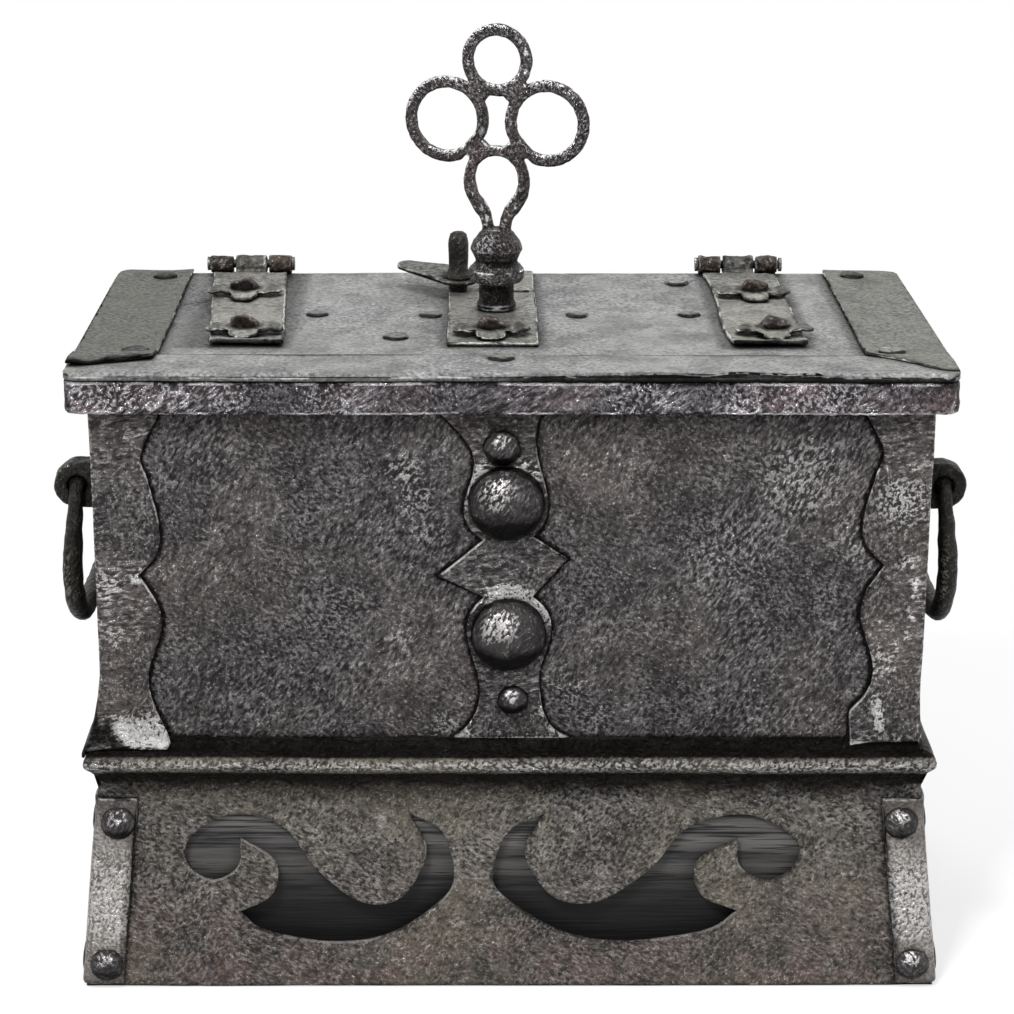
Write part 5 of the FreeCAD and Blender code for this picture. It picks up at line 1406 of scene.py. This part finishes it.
def flattened_bow(points):
    """The bow's rods are beaten flat on their two faces, and its lowest ring sits a little high."""
    level = points[:, Z] / MM
    middle = np.array([*pivot_of["key_turn"][:2], 0.0]) * MM
    facing = np.array([math.sin(BOW_TURN), math.cos(BOW_TURN), 0.0])
    along = np.array([facing[1], -facing[0], 0.0])
    off = (points - middle) @ facing
    over = np.clip(np.abs(off) - 1.55 * MM, 0, None) * smooth(level, 258, 264)
    points = points - (np.sign(off) * over * 0.75)[:, None] * facing
    aside = np.abs((points - middle) @ along) / MM
    points[:, Z] -= 2.2 * MM * between(level, 247, 257, 259, 278)
    points[:, Z] += 2.1 * MM * between(level, 260, 270, 282, 294) * (1 - smooth(aside, 9, 14))
    return points


def raised_toe(points):
    """The strap's front end stands off the lid, and the right one is broader there."""
    forward = 1 - smooth(points[:, Y] / MM, -36, 60)
    from_side = np.where(points[:, X] > 0, STRAP_SIDE * MM - points[:, X], 0)
    points[:, X] -= from_side * 0.3 * forward
    points[:, Z] += 1.0 * MM * (1 - smooth(points[:, Y] / MM, -36, -29))
    return points


def deeper_band(points):
    """The rim's front and sides hang a little lower than its back."""
    low = 1 - smooth(points[:, Z] / MM, 214, 222)
    points[:, Z] -= 1.6 * MM * low * (1 - smooth(points[:, Y] / MM, 35, 60))
    return points


def rim_band():
    band = forged("rim_band", RIM, 0.8, 7, 0.35, 2.6, bend=deeper_band)
    at = points_of(band)
    # Darker towards the front at both ends, and painted highlights in spots along the front.
    paint(band, "dirt_and_shade", 0.75 * smooth(np.abs(at[:, X]), 147.2, 149.7) * (1 - smooth(at[:, Y], -72, -30)))
    paint(band, "polish_and_highlight", spots(at, upright(LID_FRONT, [
        (-136, 219, 19, 0.3), (-114, 216, 14, 0.28), (-96, 219, 12, 0.2), (-60, 218, 16, 0.18),
        (44, 218, 18, 0.2), (78, 214, 14, 0.26), (102, 216, 24, 0.26),
    ])))


def hinge_strap(hand):
    piece = forged(f"{hand}_hinge_strap", FIXING, 0.55, 3, 0.4, 4.2, bend=raised_toe, thin=0.08)
    y = points_of(piece)[:, Y]
    # The knuckle is darker; the raised front end gets painted shadow.
    paint(piece, "dirt_and_shade", most(0.62 * smooth(y, 68.0, 70.5), 0.9 * (1 - smooth(y, -35.8, -34.6))))


def key():
    bow = forged("key", KEY, 0.45, 4, 0.2, 2.2, warp=False, bend=flattened_bow)
    level, facing = points_of(bow)[:, Z], normals_of(bow)
    # Painted highlights on the bulb and on the rings' upper faces.
    bulb_shine = smooth(facing @ np.array([-0.5, -0.78, 0.36]), 0.86, 0.98) * smooth(level, 238, 246) * (level < 262)
    ring_shine = smooth(facing @ np.array([-0.5, -0.5, 0.7]), 0.6, 0.88) * smooth(level, 262, 268)
    paint(bow, "polish_and_highlight", most(0.36 * bulb_shine, 0.6 * ring_shine))
    # Painted shade on the faces turned from the front, the undersides and the waist; the foot and the bulb are
    # darker.
    side_face = (1 - smooth(-facing[:, Y], 0.15, 0.7)) * (facing[:, Z] < 0.5) * smooth(level, 255, 262)
    waist = 1 - smooth(np.abs(level - 245.5), 0.6, 2.2)
    foot = 1 - smooth(level, 236, 239)
    under = smooth(-facing[:, Z], 0.25, 0.8)
    bulb = between(level, 240, 244, 258, 262)
    paint(bow, "dirt_and_shade", most(0.8 * foot, 0.85 * under, 0.8 * waist, 0.8 * side_face, 0.4 * bulb))


rim_band()
for hand in ("left", "right"):
    hinge_strap(hand)
    forged(f"{hand}_hinge_leaf", BLOCK, 0.55, 3, 0.45, 4.0, thin=0.28)
    forged(f"{hand}_handle_eyes", HANDLE, 0.6, 4, 0.35, 4.0, bare=0.45)
key()
forged("cover_post", HANDLE, 0.4, 2, 0.1, 3.0)
boards = [f"plinth_{side}_board" for side in ("front", "back", "left", "right")]
for node in ("plinth_deck", *boards, "lid_board"):
    plain(node, OAK, 0.6)
for node in (
    "floor_plate", "hinge_pins", "bolt_strikes", "lock_plate", "lock_bridge", "bolt_guides", "lock_rotor",
    "left_bolt", "right_bolt",
):
    plain(node, LOCK, 0.3)

# ---------------------------------------------------------------- stage, light, camera


def seen_directly(g):
    """1 for rays that show the background: to the camera, in a reflection or through glass."""
    rays = g.add("LightPath").outputs
    return g.most(rays["Is Camera Ray"], g.most(rays["Is Glossy Ray"], rays["Is Transmission Ray"]))


def floor():
    work = bmesh.new()
    bmesh.ops.create_grid(work, x_segments=1, y_segments=1, size=8)
    obj = new_object("floor", work)
    obj.location.z = -0.0003
    g = Graph(bpy.data.materials.new("floor_paper"))
    away = g.add("VectorMath", {0: g.place}, operation="LENGTH").outputs["Value"]
    paper = g.add("BsdfDiffuse", {"Color": (0.93, 0.93, 0.93, 1)}).outputs[0]
    glow = g.add("Emission", {"Color": (1, 1, 1, 1)}).outputs[0]
    share = g.times(g.ramp(away, 0.19, 0.42, 0.6, 1.0), seen_directly(g))
    obj.data.materials.append(g.end(g.add("MixShader", {0: share, 1: paper, 2: glow}).outputs[0]))


def world():
    g = Graph(bpy.data.worlds.new("studio"))
    sky = g.add("Background", {"Color": (0.96, 0.98, 1.0, 1), "Strength": 0.32}).outputs[0]
    seen = g.add("Background", {"Color": (1, 1, 1, 1)}).outputs[0]
    mixed = g.add("MixShader", {0: seen_directly(g), 1: sky, 2: seen}).outputs[0]
    bpy.context.scene.world = g.end(mixed, "World")


def lamp(name, at, aim, size, power):
    data = bpy.data.lights.new(name, "AREA")
    data.shape = "RECTANGLE"
    data.size, data.size_y = size
    data.energy = power
    obj = bpy.data.objects.new(name, data)
    obj.location = at
    obj.rotation_euler = (Vector(aim) - Vector(at)).to_track_quat("-Z", "Y").to_euler()
    bpy.context.scene.collection.objects.link(obj)


def camera():
    """The photo's view: a long lens a little above the box, looking down."""
    obj = bpy.data.objects.new("camera", bpy.data.cameras.new("camera"))
    bpy.context.scene.collection.objects.link(obj)
    obj.location = (-0.0106, -0.9218, 0.4623)
    pitch, yaw, roll = (math.radians(turn) for turn in (71.6, -0.6, 0.25))
    obj.rotation_euler = (Euler((pitch, 0, yaw)).to_matrix() @ Matrix.Rotation(roll, 3, "Z")).to_euler()
    obj.data.sensor_width = 36
    obj.data.lens = 2640 / 1014 * 36
    obj.data.clip_start = 0.01
    bpy.context.scene.camera = obj


floor()
world()
lamp("key_light", (-0.4, -0.8, 1.15), (0, 0, 0.14), (0.3, 0.2), 19.0)
lamp("fill_light", (0.9, -0.8, 0.75), (0, 0, 0.12), (0.4, 0.3), 6.0)
lamp("top_light", (0.1, 0.35, 1.1), (0, 0, 0.2), (0.8, 0.25), 6.5)
camera()
bpy.context.scene.view_settings.view_transform = "Standard"
